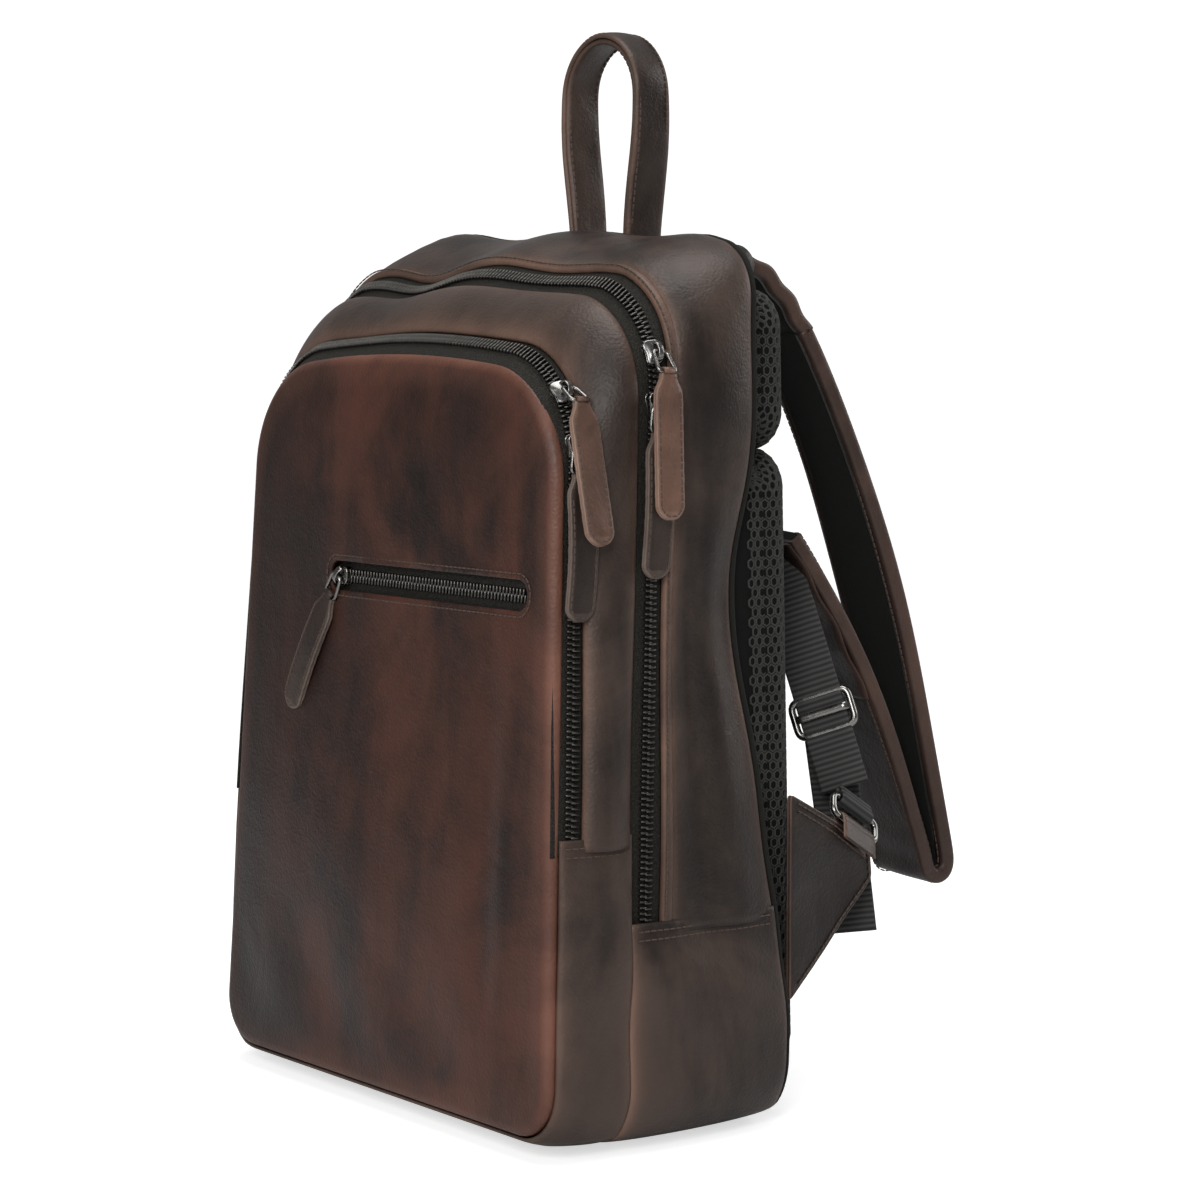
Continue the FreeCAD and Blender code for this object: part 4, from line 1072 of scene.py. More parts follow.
def band_rings(line, place, half_wide, low, high, crown=0.0004, edge=0.0006, wave=None, count=12):
    """Rings of a strip of leather that follows a line; low and high are its two faces."""
    line = np.asarray(line, float)
    ahead = np.gradient(line, axis=0)
    ahead = ahead / np.linalg.norm(ahead, axis=1, keepdims=True)
    normal = np.stack([ahead[:, 1], -ahead[:, 0]], -1)
    rings, wears = [], []
    across_share = np.concatenate([np.linspace(-1, 1, count), np.linspace(1, -1, count)])
    face_high = np.concatenate([np.ones(count), np.zeros(count)])
    near = np.clip((1 - np.abs(across_share)) * half_wide / edge, 0, 1)
    inset = edge * (1 - np.sqrt(1 - (1 - near) ** 2))
    for index in range(len(line)):
        mid = 0.5 * (low + high)
        half = 0.5 * (high - low)
        offset = np.where(face_high > 0, mid + half - inset, mid - half + inset)
        offset = offset + np.where(face_high > 0, 1, -1) * crown * (1 - across_share ** 2)
        wide_share = across_share * (half_wide if np.isscalar(half_wide) else half_wide[index])
        ripple = 0 if wave is None else wave(index / (len(line) - 1), across_share)
        spot = line[index] + normal[index] * (offset + ripple)[:, None]
        rings.append(place(wide_share, spot[:, 0], spot[:, 1]))
        wears.append(0.75 * np.exp(-(1 - np.abs(across_share)) * 0.5 / 0.05))
    return np.array(rings), np.array(wears)


def handle_place(w, x, z):
    w, x, z = np.broadcast_arrays(w, x, z)
    return np.stack([x, HANDLE_Y + w, z], -1)


def handle_wave(share, across_share):
    twist = 0.0007 * across_share * math.sin(share * 13)
    return 0.0006 * math.sin(share * 41) * (1 - across_share ** 2) + twist


rings, wears = band_rings(handle_line, handle_place, 0.0110, -0.0012, 0.0014, 0.0005, wave=handle_wave)
outer = ring_loft("handle_outer_layer", rings, side_leather, wears)
settle(outer, "handle", "side_leather", "handle_outer")
rings, wears = band_rings(handle_line, handle_place, 0.0103, -0.0040, -0.0013, 0.0005, wave=handle_wave)
inner = ring_loft("handle_inner_layer", rings, side_leather, wears * 0.7)
settle(inner, "handle", "side_leather", "handle_lining")
ahead = np.gradient(handle_line, axis=0)
ahead = ahead / np.linalg.norm(ahead, axis=1, keepdims=True)
normal = np.stack([ahead[:, 1], -ahead[:, 0]], -1)
handle_rows = []
for hand in (-1, 1):
    for offset, face_sign in ((0.0015, 1), (-0.0041, -1)):
        spots = handle_line + normal * offset
        points = handle_place(np.full(len(spots), hand * 0.0087), spots[:, 0], spots[:, 1])
        facing = np.stack([normal[:, 0], 0 * normal[:, 0], normal[:, 1]], -1) * face_sign
        handle_rows.append((points[6:-6], facing[6:-6]))
stitches("handle_stitches", handle_rows, "handle")

# ---- Shoulder straps
# Leather outside, padded black lining inside, edges turned and sewn.  Each is one long
# band: out of the yoke, down, round a soft fold and up again to the webbing.
lining_cloth = speckled("black lining cloth", dict(Scale=700.0, Detail=4.0, Roughness=0.7),
                        (0.0055, 0.0052, 0.0048), (0.014, 0.0135, 0.012), bump=(0.5, 0.0004),
                        Roughness=0.85, Specular_IOR_Level=0.2)

webbing_cloth = bpy.data.materials.new("ribbed webbing")
webbing_cloth.use_nodes = True
tree = webbing_cloth.node_tree
shader = tree.nodes["Principled BSDF"]
lay = made(tree, "ShaderNodeAttribute", attribute_name="lay")
ribs = made(tree, "ShaderNodeTexWave", wave_type="BANDS", bands_direction="X", Scale=110.0, Distortion=0.4)
link(tree, lay, "Vector", ribs, "Vector")
ribs.inputs["Detail"].default_value = 1.0
shade = made(tree, "ShaderNodeMix", data_type="RGBA")
shade.inputs[6].default_value = (0.006, 0.006, 0.006, 1)
shade.inputs[7].default_value = (0.045, 0.043, 0.041, 1)
link(tree, ribs, "Fac", shade, "Factor")
tree.links.new(shade.outputs[2], shader.inputs["Base Color"])
shader.inputs["Roughness"].default_value = 0.8
rib_bump = made(tree, "ShaderNodeBump", Strength=0.6, Distance=0.0006)
link(tree, ribs, "Fac", rib_bump, "Height")
link(tree, rib_bump, "Normal", shader, "Normal")

strap_leather = leather("strap leather", dark=(0.0065, 0.005, 0.0045), mid=(0.021, 0.014, 0.012),
                        rubbed_and_highlight=(0.095, 0.052, 0.038))


def curve(knots, count):
    a, b, c, d = (np.array(k, float) for k in knots)
    t = np.linspace(0, 1, count)[:, None]
    return a * (1 - t) ** 3 + 3 * b * t * (1 - t) ** 2 + 3 * c * t * t * (1 - t) + d * t ** 3


down = curve(((0.010, 0.431), (0.048, 0.425), (0.110, 0.290), (0.142, 0.115)), 90)
fold = [(0.1315 + 0.0105 * math.cos(math.radians(a)), 0.112 + 0.0105 * math.sin(math.radians(a)))
        for a in np.linspace(4, -186, 24)]
back_up = curve(((0.121, 0.114), (0.108, 0.150), (0.088, 0.215), (0.036, 0.286)), 60)
strap_path = smooth_line(resample(np.concatenate([down, fold, back_up]), 320, closed=False), 10)
length_along = np.concatenate([[0], np.cumsum(np.linalg.norm(np.diff(strap_path, axis=0), axis=1))])
ROOT_LONG = 0.055


def turned_section():
    """Closed section of the strap leather (across, depth): outer face, and a lip over the lining."""
    half, lip = 0.0250, 0.0062
    edge = [(half - 0.0012, 0.0001), (half - 0.0003, 0.0010), (half, 0.0024), (half, 0.0056),
            (half - 0.0005, 0.0072), (half - 0.0018, 0.0080), (half - lip * 0.6, 0.0083),
            (half - lip, 0.0081), (half - lip - 0.0004, 0.0075), (half - lip, 0.0070),
            (half - 0.0026, 0.0068), (half - 0.0016, 0.0058), (half - 0.0016, 0.0032),
            (half - 0.0026, 0.0021)]
    outer = [(w, -0.0004 * (1 - (w / half) ** 2)) for w in np.linspace(-half + 0.0028, half - 0.0028, 12)]
    under = [(w, 0.0020) for w in np.linspace(half - 0.0050, -half + 0.0050, 10)]
    return np.array(outer + edge + under + [(-w, d) for w, d in edge[::-1]])


def strap_wave(share, across_share):
    bend = math.exp(-((share - 0.62) / 0.05) ** 2)
    creases = 0.0006 * bend * math.sin(share * 160) * (1 - across_share ** 2)
    return creases + 0.0008 * math.sin(share * 17) * across_share


for side, hand in (("right", 1), ("left", -1)):
    splay = math.radians(6.0)
    origin = np.array([hand * 0.075, 0.085, 0.0])
    out_way = np.array([hand * math.sin(splay), math.cos(splay), 0])
    wide_way = np.array([hand * math.cos(splay), -math.sin(splay), 0])

    def strap_place(w, s, z, origin=origin, out_way=out_way, wide_way=wide_way):
        w, s, z = np.broadcast_arrays(w, s, z)
        return origin + s[:, None] * out_way + w[:, None] * wide_way + z[:, None] * np.array([0, 0, 1.0])

    parts = (("strap_root", length_along <= ROOT_LONG), ("strap", length_along > ROOT_LONG - 0.004))
    top_spot = strap_place(np.zeros(1), strap_path[:1, 0], strap_path[:1, 1])[0]
    cut_index = int(np.searchsorted(length_along, ROOT_LONG))
    cut_place = strap_path[cut_index:cut_index + 1]
    cut_spot = strap_place(np.zeros(1), cut_place[:, 0], cut_place[:, 1])[0]
    for label, chosen in parts:
        line = strap_path[chosen]
        run = np.gradient(line, axis=0)
        run = run / np.linalg.norm(run, axis=1, keepdims=True)
        inward = np.stack([run[:, 1], -run[:, 0]], -1)
        section = turned_section()
        share_across = section[:, 0] / 0.025
        rings, wears = [], []
        for index, (spot, way) in enumerate(zip(line, inward)):
            deep = section[:, 1] + strap_wave(index / (len(line) - 1), share_across)
            placed = spot + way * deep[:, None]
            rings.append(strap_place(section[:, 0], placed[:, 0], placed[:, 1]))
            wears.append(0.8 * np.exp(-(1 - np.abs(share_across)) / 0.12) * (section[:, 1] < 0.0083))
        skin = ring_loft(label + "_leather_" + side, rings, strap_leather, np.array(wears))
        rings, wears = band_rings(line, strap_place, 0.0228, 0.0022, 0.0076, 0.0006, edge=0.0022,
                                  wave=strap_wave, count=16)
        lining = ring_loft(label + "_lining_" + side, rings, lining_cloth, wears * 0)
        if label == "strap_root":
            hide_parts("strap_root_" + side)
            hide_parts("strap_root_lining_" + side)
            for piece in (skin, lining):
                tuple(top_spot)
                tuple(cut_spot)
                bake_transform(piece)
        else:
            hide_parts("strap_leather_" + side)
            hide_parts("strap_lining_" + side)
            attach(skin, "strap_" + side)
            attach(lining, "strap_" + side)
    ahead = np.gradient(strap_path, axis=0)
    ahead = ahead / np.linalg.norm(ahead, axis=1, keepdims=True)
    normal = np.stack([ahead[:, 1], -ahead[:, 0]], -1)
    strap_rows = []
    for edge_hand in (-1, 1):
        for deep, facing_hand in ((-0.0003, -1), (0.0083, 1)):
            spots = strap_path[cut_index:] + normal[cut_index:] * deep
            points = strap_place(np.full(len(spots), edge_hand * 0.0212), spots[:, 0], spots[:, 1])
            facing = normal[cut_index:, 0:1] * out_way + normal[cut_index:, 1:2] * np.array([0, 0, 1.0])
            strap_rows.append((points, facing * facing_hand))
    stitches("strap_stitches_" + side, strap_rows, "strap_" + side)
    # a second leather layer covers the end where the webbing is sewn in
    cover_line = strap_path[length_along > length_along[-1] - 0.098]
    rings, wears = band_rings(cover_line, strap_place, 0.0253, -0.0022, -0.0006, 0.0004, edge=0.0007,
                              wave=strap_wave, count=16)
    cover = ring_loft("strap_cover_" + side, rings, strap_leather, wears)
    settle(cover, "strap_" + side, "side_leather", "strap_end_" + side)

# ---- Webbing, adjusters, rings and side tabs
# Ribbed webbing runs from the strap end through a tri-glide to a wire ring; the ring is
# held by a leather loop on a triangular leather tab sewn into the back seam.
def ribbon(name, path, wide_ways, half_wide, half_thick, material, body, slot, nodes):
    path = np.asarray(path, float)
    wide_ways = np.broadcast_to(np.asarray(wide_ways, float), path.shape)
    ahead = np.gradient(path, axis=0)
    normal = np.cross(ahead, wide_ways)
    normal = normal / np.linalg.norm(normal, axis=1, keepdims=True)
    section = [(-1, 0), (-0.96, 0.8), (-0.9, 1), (-0.45, 1), (0, 1), (0.45, 1), (0.9, 1), (0.96, 0.8),
               (1, 0), (0.96, -0.8), (0.9, -1), (0.45, -1), (0, -1), (-0.45, -1), (-0.9, -1), (-0.96, -0.8)]
    rings = np.stack([path + wide_ways * half_wide * a + normal * half_thick * b for a, b in section], 1)
    run = np.concatenate([[0], np.cumsum(np.linalg.norm(np.diff(path, axis=0), axis=1))])
    lay = np.stack([np.repeat(run[:, None], 16, 1),
                    np.repeat(np.array([a for a, _ in section])[None] * half_wide, len(path), 0),
                    np.zeros((len(path), 16))], -1)
    strip = ring_loft(name, rings, material, lay=lay)
    return settle(strip, body, slot, *nodes)


def arc_path(centre, first, second, radius, start, stop, count=24):
    a = np.radians(np.linspace(start, stop, count))
    return centre + radius * (np.cos(a)[:, None] * first + np.sin(a)[:, None] * second)


for side, hand in (("right", 1), ("left", -1)):
    flip = np.array([hand, 1.0, 1.0])
    start, stop = np.array([0.137, 0.130, 0.152]) * flip, np.array([0.0845, 0.121, 0.283]) * flip
    way = unit(stop - start)
    facing = np.array([hand * 0.8, 0.6, 0.0])
    wide = unit(facing - way * np.dot(facing, way))
    out = unit(np.cross(way, wide)) * hand
    seat = np.array([0.1425, 0.127, 0.1435]) * flip
    bar = unit(np.array([-0.02, 0.84, -0.54]) * flip)
    lift = unit((start - seat) - bar * np.dot(start - seat, bar))
    ring_out = unit(np.cross(bar, lift))
    far = seat + lift * 0.012

    glide = start + way * 0.051
    length = np.linalg.norm(stop - start)
    share = np.linspace(0, 1, 90)
    run = 0.0115 + (length - 0.0125) * share
    path = start + way * run[:, None]
    ribbon("webbing_run_" + side, path, wide, 0.0125, 0.0007, webbing_cloth, "strap_" + side, "webbing",
           ["webbing_" + side])

    tail_way = unit(np.array([hand * 0.05, 0.13, -1.0]))
    tail_wide = unit(wide - tail_way * np.dot(wide, tail_way))
    share = np.linspace(0, 1, 60)
    sway = unit(np.cross(tail_wide, tail_way))
    path = glide + out * 0.0050 + np.array([0, 0, 0.004]) + tail_way * (0.118 * share)[:, None]
    path = path + sway * (0.003 * np.sin(share * 4.0) * share)[:, None]
    ribbon("webbing_tail_end_" + side, path, tail_wide, 0.0125, 0.0008, webbing_cloth, "adjuster_" + side,
           "webbing", ["webbing_tail_" + side])

    bars = []
    rim_corners = [glide - wide * 0.0152 - way * 0.0095, glide + wide * 0.0152 - way * 0.0095,
                   glide + wide * 0.0152 + way * 0.0095, glide - wide * 0.0152 + way * 0.0095]
    rim_corners = [c + out * 0.0010 for c in rim_corners]
    bars.append(tube("glide_rim_" + side, round_loop(rim_corners, 0.0050), 0.0019, nickel))
    mid = resample(np.array([glide - wide * 0.0152 + out * 0.001, glide - wide * 0.0125 - out * 0.0021,
                             glide + wide * 0.0125 - out * 0.0021, glide + wide * 0.0152 + out * 0.001]),
                   24, False)
    section = [(math.cos(a) * 0.0021, math.sin(a) * 0.0010)
               for a in np.linspace(0, 2 * math.pi, 12, endpoint=False)]
    rings = np.stack([mid + way * a + out * b for a, b in section], 1)
    bars.append(ring_loft("glide_mid_" + side, rings, nickel))
    adjuster = join_pieces("triglide_" + side, bars)
    adjuster.data.shade_smooth()
    settle(adjuster, "adjuster_" + side, "fitting_metal", "adjuster_" + side)

    corners = [seat - bar * 0.017, seat + bar * 0.017, far + bar * 0.017, far - bar * 0.017]
    ring = tube("tab_ring_" + side, round_loop(corners, 0.0042), 0.00175, nickel)
    settle(ring, "ring_" + side, "fitting_metal", "ring_" + side)
    wrap = arc_path(far, ring_out, -lift, 0.0027, -10, 190)
    down_leg, apart = np.linspace(0.0072, 0.0008, 8)[:, None], np.linspace(0.0008, 0.0026, 8)[:, None]
    legs_in = far + lift * down_leg + ring_out * apart
    legs_out = far + lift * down_leg[::-1] - ring_out * apart[::-1]
    path = resample(np.concatenate([legs_in, wrap, legs_out]), 60, False)
    ribbon("webbing_turn_" + side, path, bar, 0.0125, 0.0007, webbing_cloth, "ring_" + side, "webbing",
           ["webbing_fold_" + side])

    tab_low, tab_high = np.array([0.149, 0.078, 0.062]) * flip, np.array([0.149, 0.078, 0.166]) * flip
    tip_low = np.array([0.142, 0.1395, 0.117]) * flip
    tip, edge_point = seat + bar * 0.016 - lift * 0.0048, seat - bar * 0.016 - lift * 0.0048
    flat = unit(np.cross(tip_low - tab_low, tab_high - tab_low))
    flat = flat * hand * (1 if flat[0] * hand > 0 else -1) * hand
    u_way = unit(tab_high - tab_low)
    v_way = unit(np.cross(flat, u_way))
    v_way = v_way if v_way[1] > 0 else -v_way
    knots = [tab_low, tip_low, tip, edge_point, tab_high]
    plan = np.array([(np.dot(k - tab_low, u_way), np.dot(k - tab_low, v_way)) for k in knots])
    smooth_plan = resample(plan, 160)
    for _ in range(3):
        smooth_plan = (np.roll(smooth_plan, 1, 0) + 2 * smooth_plan + np.roll(smooth_plan, -1, 0)) / 4

    def tab_place(u, v, w, tab_low=tab_low, u_way=u_way, v_way=v_way, flat=flat):
        u, v, w = np.broadcast_arrays(u, v, w)
        pinch = 0.0022 * hill(u, 0.050, 0.022) * np.clip(v / 0.02, 0, 1) * np.clip((0.055 - v) / 0.02, 0, 1)
        roll = 0.0012 * np.sin(u * 75) * np.clip(v / 0.06, 0, 1)
        return tab_low + u[:, None] * u_way + v[:, None] * v_way + (w - pinch + roll)[:, None] * flat

    tab = plate_piece("leather_tab_" + side, smooth_plan, tab_place, 0.0016, side_leather, edge=0.0009,
                      dome=0.0006, groove=0.0006, worn_edge=0.9)
    settle(tab, "bag", "side_leather", "side_tab_" + side)
    tab_rows = []
    top_line = resample(np.array([plan[4] * 0.97 + plan[3] * 0.03, plan[3], plan[2]]), 80, False)
    low_line = resample(np.array([plan[2], plan[1], plan[0] * 0.97 + plan[1] * 0.03]), 80, False)
    heart_uv = plan.mean(0)
    for line, insets in ((top_line, (0.0026, 0.0058)), (low_line, (0.0026,))):
        for inset in insets:
            ahead = np.gradient(line, axis=0)
            ahead = ahead / np.linalg.norm(ahead, axis=1, keepdims=True)
            inside = np.stack([-ahead[:, 1], ahead[:, 0]], -1)
            inside = inside if np.sum(inside * (heart_uv - line)) > 0 else -inside
            moved = smooth_line(line + inside * inset, 6)
            moved = moved[moved[:, 1] > 0.004]
            for face_hand in (1, -1):
                points = tab_place(moved[:, 0], moved[:, 1], np.full(len(moved), 0.00215 * face_hand))
                tab_rows.append((points, np.tile(flat * face_hand, (len(points), 1))))
    stitches("tab_stitches_" + side, tab_rows, "bag")

    turn_round = arc_path(seat, flat, lift, 0.0031, -30, 210)
    outside = seat + flat * 0.0034 + (-lift) * np.linspace(0.0115, 0.0012, 12)[:, None]
    inside = seat - flat * 0.0034 + (-lift) * np.linspace(0.0012, 0.0115, 12)[:, None]
    path = smooth_line(resample(np.concatenate([outside, turn_round, inside]), 70, False), 3)
    ways = np.tile(bar, (70, 1))
    ahead = np.gradient(path, axis=0)
    normal = np.cross(ahead, ways)
    normal = normal / np.linalg.norm(normal, axis=1, keepdims=True)
    across_share = np.concatenate([np.linspace(-1, 1, 12), np.linspace(1, -1, 12)])
    rise_share = np.concatenate([np.ones(12), -np.ones(12)]) * (1 - 0.75 * np.abs(across_share) ** 24)
    rings = path[:, None] + ways[:, None] * (across_share * 0.0128)[None, :, None] \
        + normal[:, None] * (rise_share * 0.00085)[None, :, None]
    wears = np.broadcast_to(0.8 * np.exp(-(1 - np.abs(across_share)) / 0.10) + 0.25, rings.shape[:2])
    keeper = ring_loft("leather_keeper_" + side, rings, side_leather, wears)
    settle(keeper, "bag", "side_leather", "ring_loop_" + side)

# ---- Back pads
# Foam under black three-dimensional air mesh: a base cushion in black cloth darkened
# further as painted shade in the cell holes, with open hexagon cells knitted over its face and sides.
air_mesh = speckled("air mesh", dict(Scale=1300.0, Detail=2.0), (0.016, 0.016, 0.0145), (0.050, 0.050, 0.045),
                    Roughness=0.78, Specular_IOR_Level=0.3)
# Near-black foam: black cloth darkened further as painted shade seen through the mesh holes.
foam_with_hole_shade = speckled("foam under the mesh", dict(Scale=800.0, Detail=3.0), (0.003, 0.003, 0.003),
                (0.009, 0.009, 0.0085), Roughness=0.9, Specular_IOR_Level=0.1)
BACK_LEAN = math.radians(-1.5)
back_up = np.array([0, math.sin(BACK_LEAN), math.cos(BACK_LEAN)])
back_out = np.array([0, math.cos(BACK_LEAN), -math.sin(BACK_LEAN)])
back_origin = np.array([0, 0.077, 0])


def back_place(x, z, h):
    x, z, h = np.broadcast_arrays(x, z, h)
    return back_origin + np.stack([x, 0 * x, 0 * x], -1) + z[..., None] * back_up + h[..., None] * back_out


def cushion_map(p, half, low, high, thick, plan_r, edge_r):
    """Where a point of the unrolled cover lies on the cushion, and its outward normal."""
    x, z = p[..., 0], p[..., 1]
    cx = np.clip(x, -half + plan_r, half - plan_r)
    cz = np.clip(z, low + plan_r, high - plan_r)
    wx, wz = x - cx, z - cz
    d = np.hypot(wx, wz)
    ux, uz = wx / np.maximum(d, 1e-9), wz / np.maximum(d, 1e-9)
    flat_run = plan_r - edge_r
    arc = edge_r * math.pi / 2
    a = np.clip((d - flat_run) / edge_r, 0, math.pi / 2)
    r = np.where(d < flat_run, d, flat_run + edge_r * np.sin(a))
    h = thick - np.where(d < flat_run, 0, edge_r * (1 - np.cos(a))) - np.clip(d - flat_run - arc, 0, 1)
    crown = 0.0025 * (1 - (cx / half) ** 2) - 0.0012 * np.clip(d / plan_r, 0, 1) ** 2
    h = h + crown * np.clip(h / thick, 0, 1) - 0.0025
    bulge = 0.0020 * np.sin(np.clip(h / thick, 0, 1) * math.pi)
    place = back_place(cx + ux * (r + bulge - 0.001), cz + uz * (r + bulge - 0.001), h)
    sideways = np.stack([ux, 0 * ux, 0 * ux], -1) + uz[..., None] * back_up
    normal = back_out * np.cos(a)[..., None] + sideways * np.sin(a)[..., None]
    return place, normal, d


cell_mesh = bpy.data.meshes.new("mesh_cell_master")
corner = [(math.cos(a), math.sin(a)) for a in np.radians(np.arange(30, 390, 60))]
cell_points = [(0.00255 * x, 0.0031 * y, -0.0002) for x, y in corner]
cell_points += [(0.00235 * x, 0.0029 * y, 0.0006) for x, y in corner]
cell_points += [(0.00160 * x, 0.0021 * y, 0.0005) for x, y in corner]
cell_points += [(0.00135 * x, 0.0018 * y, -0.0009) for x, y in corner]
cell_faces = [(6 * k + i, 6 * k + (i + 1) % 6, 6 * k + 6 + (i + 1) % 6, 6 * k + 6 + i)
              for k in range(3) for i in range(6)]
cell_mesh.from_pydata(cell_points, [], cell_faces)
cell_mesh.shade_smooth()
mesh_cell = bpy.data.objects.new("mesh_cell_master", cell_mesh)
bpy.context.scene.collection.objects.link(mesh_cell)


def cushion(name, half, low, high, thick, material, node_name, plan_r=0.024, edge_r=0.010, cells=True,
            slot="air_mesh", skirt=0.0):
    total = (plan_r - edge_r) + edge_r * math.pi / 2 + (thick - edge_r) + skirt
    loop = []
    for cx, cz, a0 in ((half - plan_r, low + plan_r, -90), (half - plan_r, high - plan_r, 0),
                       (-half + plan_r, high - plan_r, 90), (-half + plan_r, low + plan_r, 180)):
        for a in np.radians(np.linspace(a0, a0 + 90, 10)):
            loop.append((cx, cz, math.cos(a), math.sin(a)))
    loop = resample(np.array(loop), 200)
    core, way = loop[:, :2], loop[:, 2:] / np.linalg.norm(loop[:, 2:], axis=1, keepdims=True)
    rings = []
    for d in np.linspace(total, 0.0, 22):
        rings.append(cushion_map(core + way * max(d, 1e-6), half, low, high, thick, plan_r, edge_r)[0])
    middle = np.array([0, (low + high) / 2])
    for share in (0.85, 0.6, 0.35, 0.12, 0.02):
        rings.append(cushion_map(middle + (core - middle) * share, half, low, high, thick, plan_r, edge_r)[0])
    rings = np.array(rings)
    if cells:
        rings = rings - back_out * 0.0008
    body = ring_loft(name, rings, foam_with_hole_shade if cells else material, flat_ends=False)
    settle(body, "bag", slot, node_name)
    if cells:
        step_x, step_z = 0.0045, 0.0048
        reach = total - 0.002
        xs = np.arange(-half - thick, half + thick, step_x)
        zs = np.arange(low - thick, high + thick, step_z)
        grid = np.array([(x + (row % 2) * step_x / 2, z) for row, z in enumerate(zs) for x in xs])
        spots, normals, d = cushion_map(grid, half, low, high, thick, plan_r, edge_r)
        right = cushion_map(grid + (5e-4, 0), half, low, high, thick, plan_r, edge_r)[0]
        kept = d < reach
        along = (right - spots)[kept]
        along = along / np.linalg.norm(along, axis=1, keepdims=True)
        net = set_along(name + "_cells", spots[kept], along, normals[kept], mesh_cell, material)
        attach(net, "bag")


cushion("pad_lower", 0.1385, 0.026, 0.3338, 0.0200, air_mesh, "back_pad_lower", plan_r=0.018, skirt=0.026)
cushion("pad_upper", 0.1385, 0.3362, 0.412, 0.0200, air_mesh, "back_pad_upper", plan_r=0.018, skirt=0.020)
cushion("yoke_roll", 0.114, 0.4152, 0.4345, 0.0250, side_leather, "back_yoke", plan_r=0.0095, edge_r=0.0085,
        cells=False, slot="side_leather")

# ---- Back panel
# Dark cloth-covered board with a piped rim where it meets the rear gusset; the rim is the same cloth.
t_ring = np.linspace(-0.5, 0.5, 301)[:-1]
rim = on_bag(np.full(300, 0.0737), t_ring, 0.0)[0]
shift = np.array([0, 1.0, 0])
heart3 = np.array([0, 0.0737 - 0.0058, 0.22])
rings = []
for share, depth in ((0.02, 0.0), (0.4, 0.0), (0.8, 0.0), (0.96, 0.0), (0.995, 0.0004), (1.004, 0.0012),
                     (1.004, 0.0026), (0.997, 0.0036), (0.985, 0.0036), (0.90, 0.0034), (0.6, 0.0032),
                     (0.02, 0.0032)):
    rings.append(heart3 + (rim - heart3) * share + shift * depth)
wear_and_highlight = np.array([0, 0, 0, 0, 0.4, 0.8, 0.8, 0.6, 0.2, 0, 0, 0])[:, None] * np.ones((1, 300))
back_panel = ring_loft("back_panel", rings, lining_cloth, wear_and_highlight, flat_ends=False)
settle(back_panel, "bag", "lining", "back_board")

# ---- Inside
# The pocket divider and the window pouch are plain lining cloth out of sight.
for name in ("window_pouch", "pocket_divider"):
    inner_piece = frame["nodes"][name]
    inner_piece.data.materials.clear()
    inner_piece.data.materials.append(lining_cloth)
for master in (tooth, stitch, mesh_cell):
    bpy.data.objects.remove(master)

# ---- Floor, light and camera
# Seamless pale sweep, one large soft key from the right and above, and three soft fills.
floor_mesh = bpy.data.meshes.new("studio_floor")
floor_rows = [(-6.0, 0.0), (1.6, 0.0), (2.2, 0.03), (2.8, 0.2), (3.2, 0.6), (3.4, 1.2), (3.5, 5.0)]
turn = math.radians(53)
verts = []
for y, z in floor_rows:
    for x in (-7.0, 7.0):
        verts.append((x * math.cos(turn) - y * math.sin(turn), x * math.sin(turn) + y * math.cos(turn), z))
floor_mesh.from_pydata(verts, [], [(2 * i, 2 * i + 1, 2 * i + 3, 2 * i + 2)
                                   for i in range(len(floor_rows) - 1)])
floor_mesh.shade_smooth()
floor = bpy.data.objects.new("studio_floor", floor_mesh)
bpy.context.scene.collection.objects.link(floor)
pale = bpy.data.materials.new("pale sweep")
pale.use_nodes = True
tree = pale.node_tree
shader = tree.nodes["Principled BSDF"]
shader.inputs["Base Color"].default_value = (0.74, 0.74, 0.74, 1)
shader.inputs["Roughness"].default_value = 0.7
shader.inputs["Emission Color"].default_value = (1, 1, 1, 1)
looked_at = tree.nodes.new("ShaderNodeLightPath")
lifted = made(tree, "ShaderNodeMath", operation="MULTIPLY")
lifted.inputs[1].default_value = 0.62
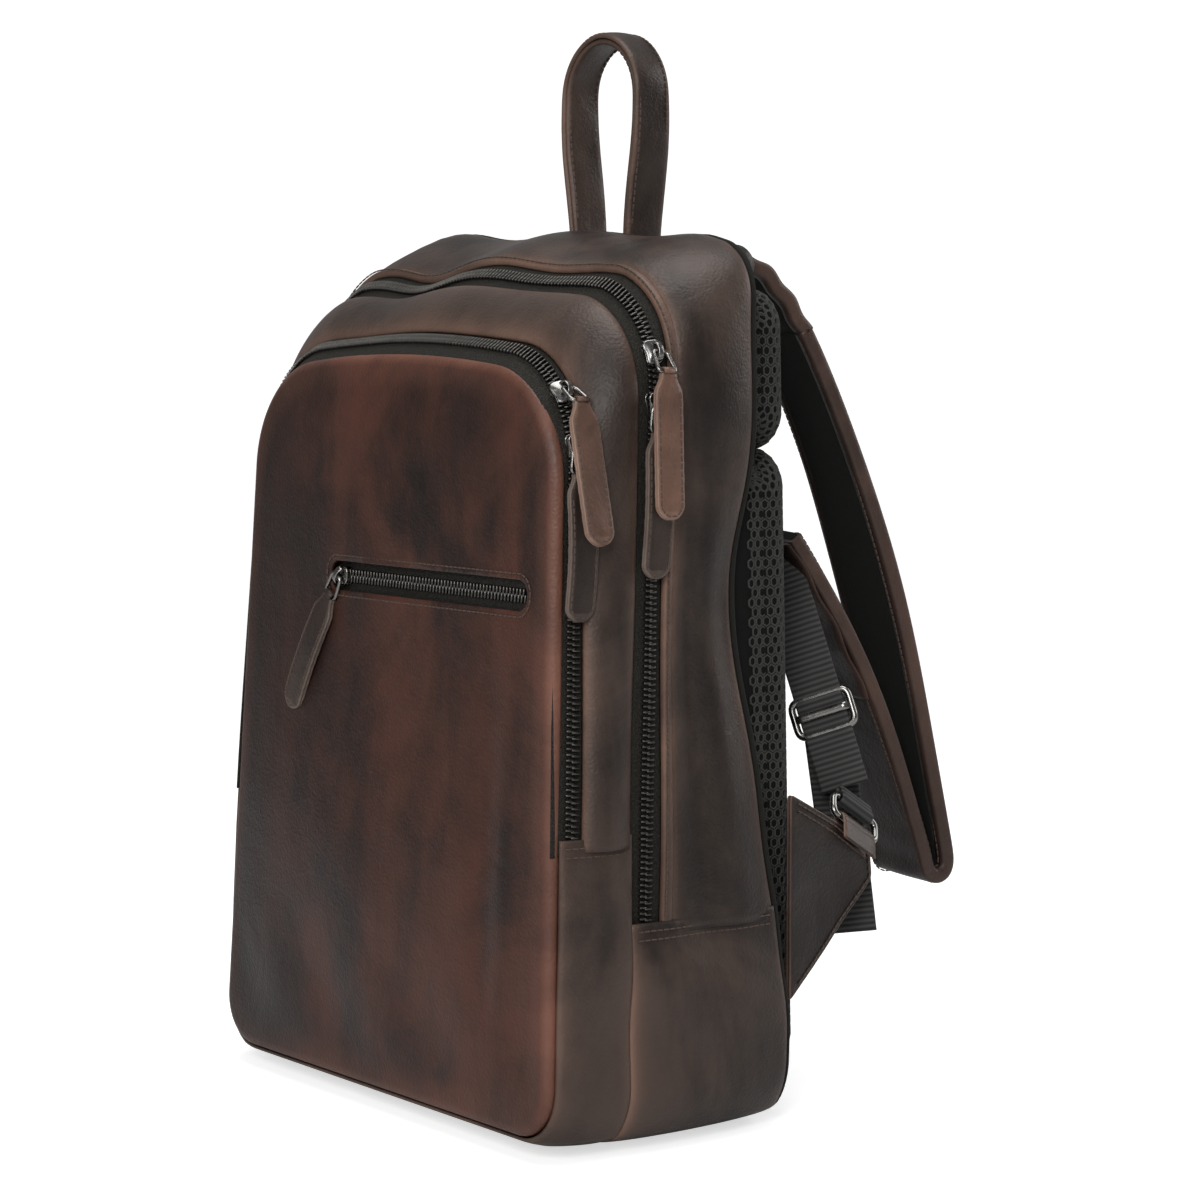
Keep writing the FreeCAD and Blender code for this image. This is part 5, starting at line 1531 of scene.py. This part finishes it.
link(tree, looked_at, "Is Camera Ray", lifted, 0)
link(tree, lifted, "Value", shader, "Emission Strength")
floor_mesh.materials.append(pale)


def area(name, place, target, size, power):
    lamp = bpy.data.lights.new(name, "AREA")
    lamp.shape = "RECTANGLE"
    lamp.size, lamp.size_y = size
    lamp.energy = power
    holder = bpy.data.objects.new(name, lamp)
    holder.location = place
    holder.rotation_euler = (Vector(target) - Vector(place)).to_track_quat("-Z", "Y").to_euler()
    bpy.context.scene.collection.objects.link(holder)


area("key", (2.3, -2.2, 1.8), (0, 0, 0.25), (1.2, 1.6), 72)
area("front_box", (0.4, -2.9, 1.5), (0, 0, 0.25), (0.9, 1.4), 20)
area("overhead", (0.1, 0.1, 2.3), (0, 0, 0.2), (1.4, 1.4), 30)
area("rear_fill", (0.7, 2.7, 1.4), (0, 0, 0.25), (1.6, 1.6), 26)
world = bpy.data.worlds.new("studio")
bpy.context.scene.world = world
world.use_nodes = True
tree = world.node_tree
room = tree.nodes["Background"]
room.inputs[0].default_value = (1, 1, 1, 1)
room.inputs[1].default_value = 0.16
seen = tree.nodes.new("ShaderNodeBackground")
seen.inputs[0].default_value = (1, 1, 1, 1)
ray = tree.nodes.new("ShaderNodeLightPath")
either = tree.nodes.new("ShaderNodeMixShader")
tree.links.new(ray.outputs["Is Camera Ray"], either.inputs[0])
tree.links.new(room.outputs[0], either.inputs[1])
tree.links.new(seen.outputs[0], either.inputs[2])
tree.links.new(either.outputs[0], tree.nodes["World Output"].inputs["Surface"])
camera = bpy.data.cameras.new("camera")
camera.lens = 98
camera.sensor_width = 36
eye = bpy.data.objects.new("camera", camera)
eye.location = (1.343, -0.944, 0.398)
pitch = math.radians(4.8)
look = Vector((-math.sin(turn) * math.cos(pitch), math.cos(turn) * math.cos(pitch), -math.sin(pitch)))
eye.rotation_euler = look.to_track_quat("-Z", "Y").to_euler()
bpy.context.scene.collection.objects.link(eye)
bpy.context.scene.camera = eye
bpy.context.scene.view_settings.view_transform = "Standard"
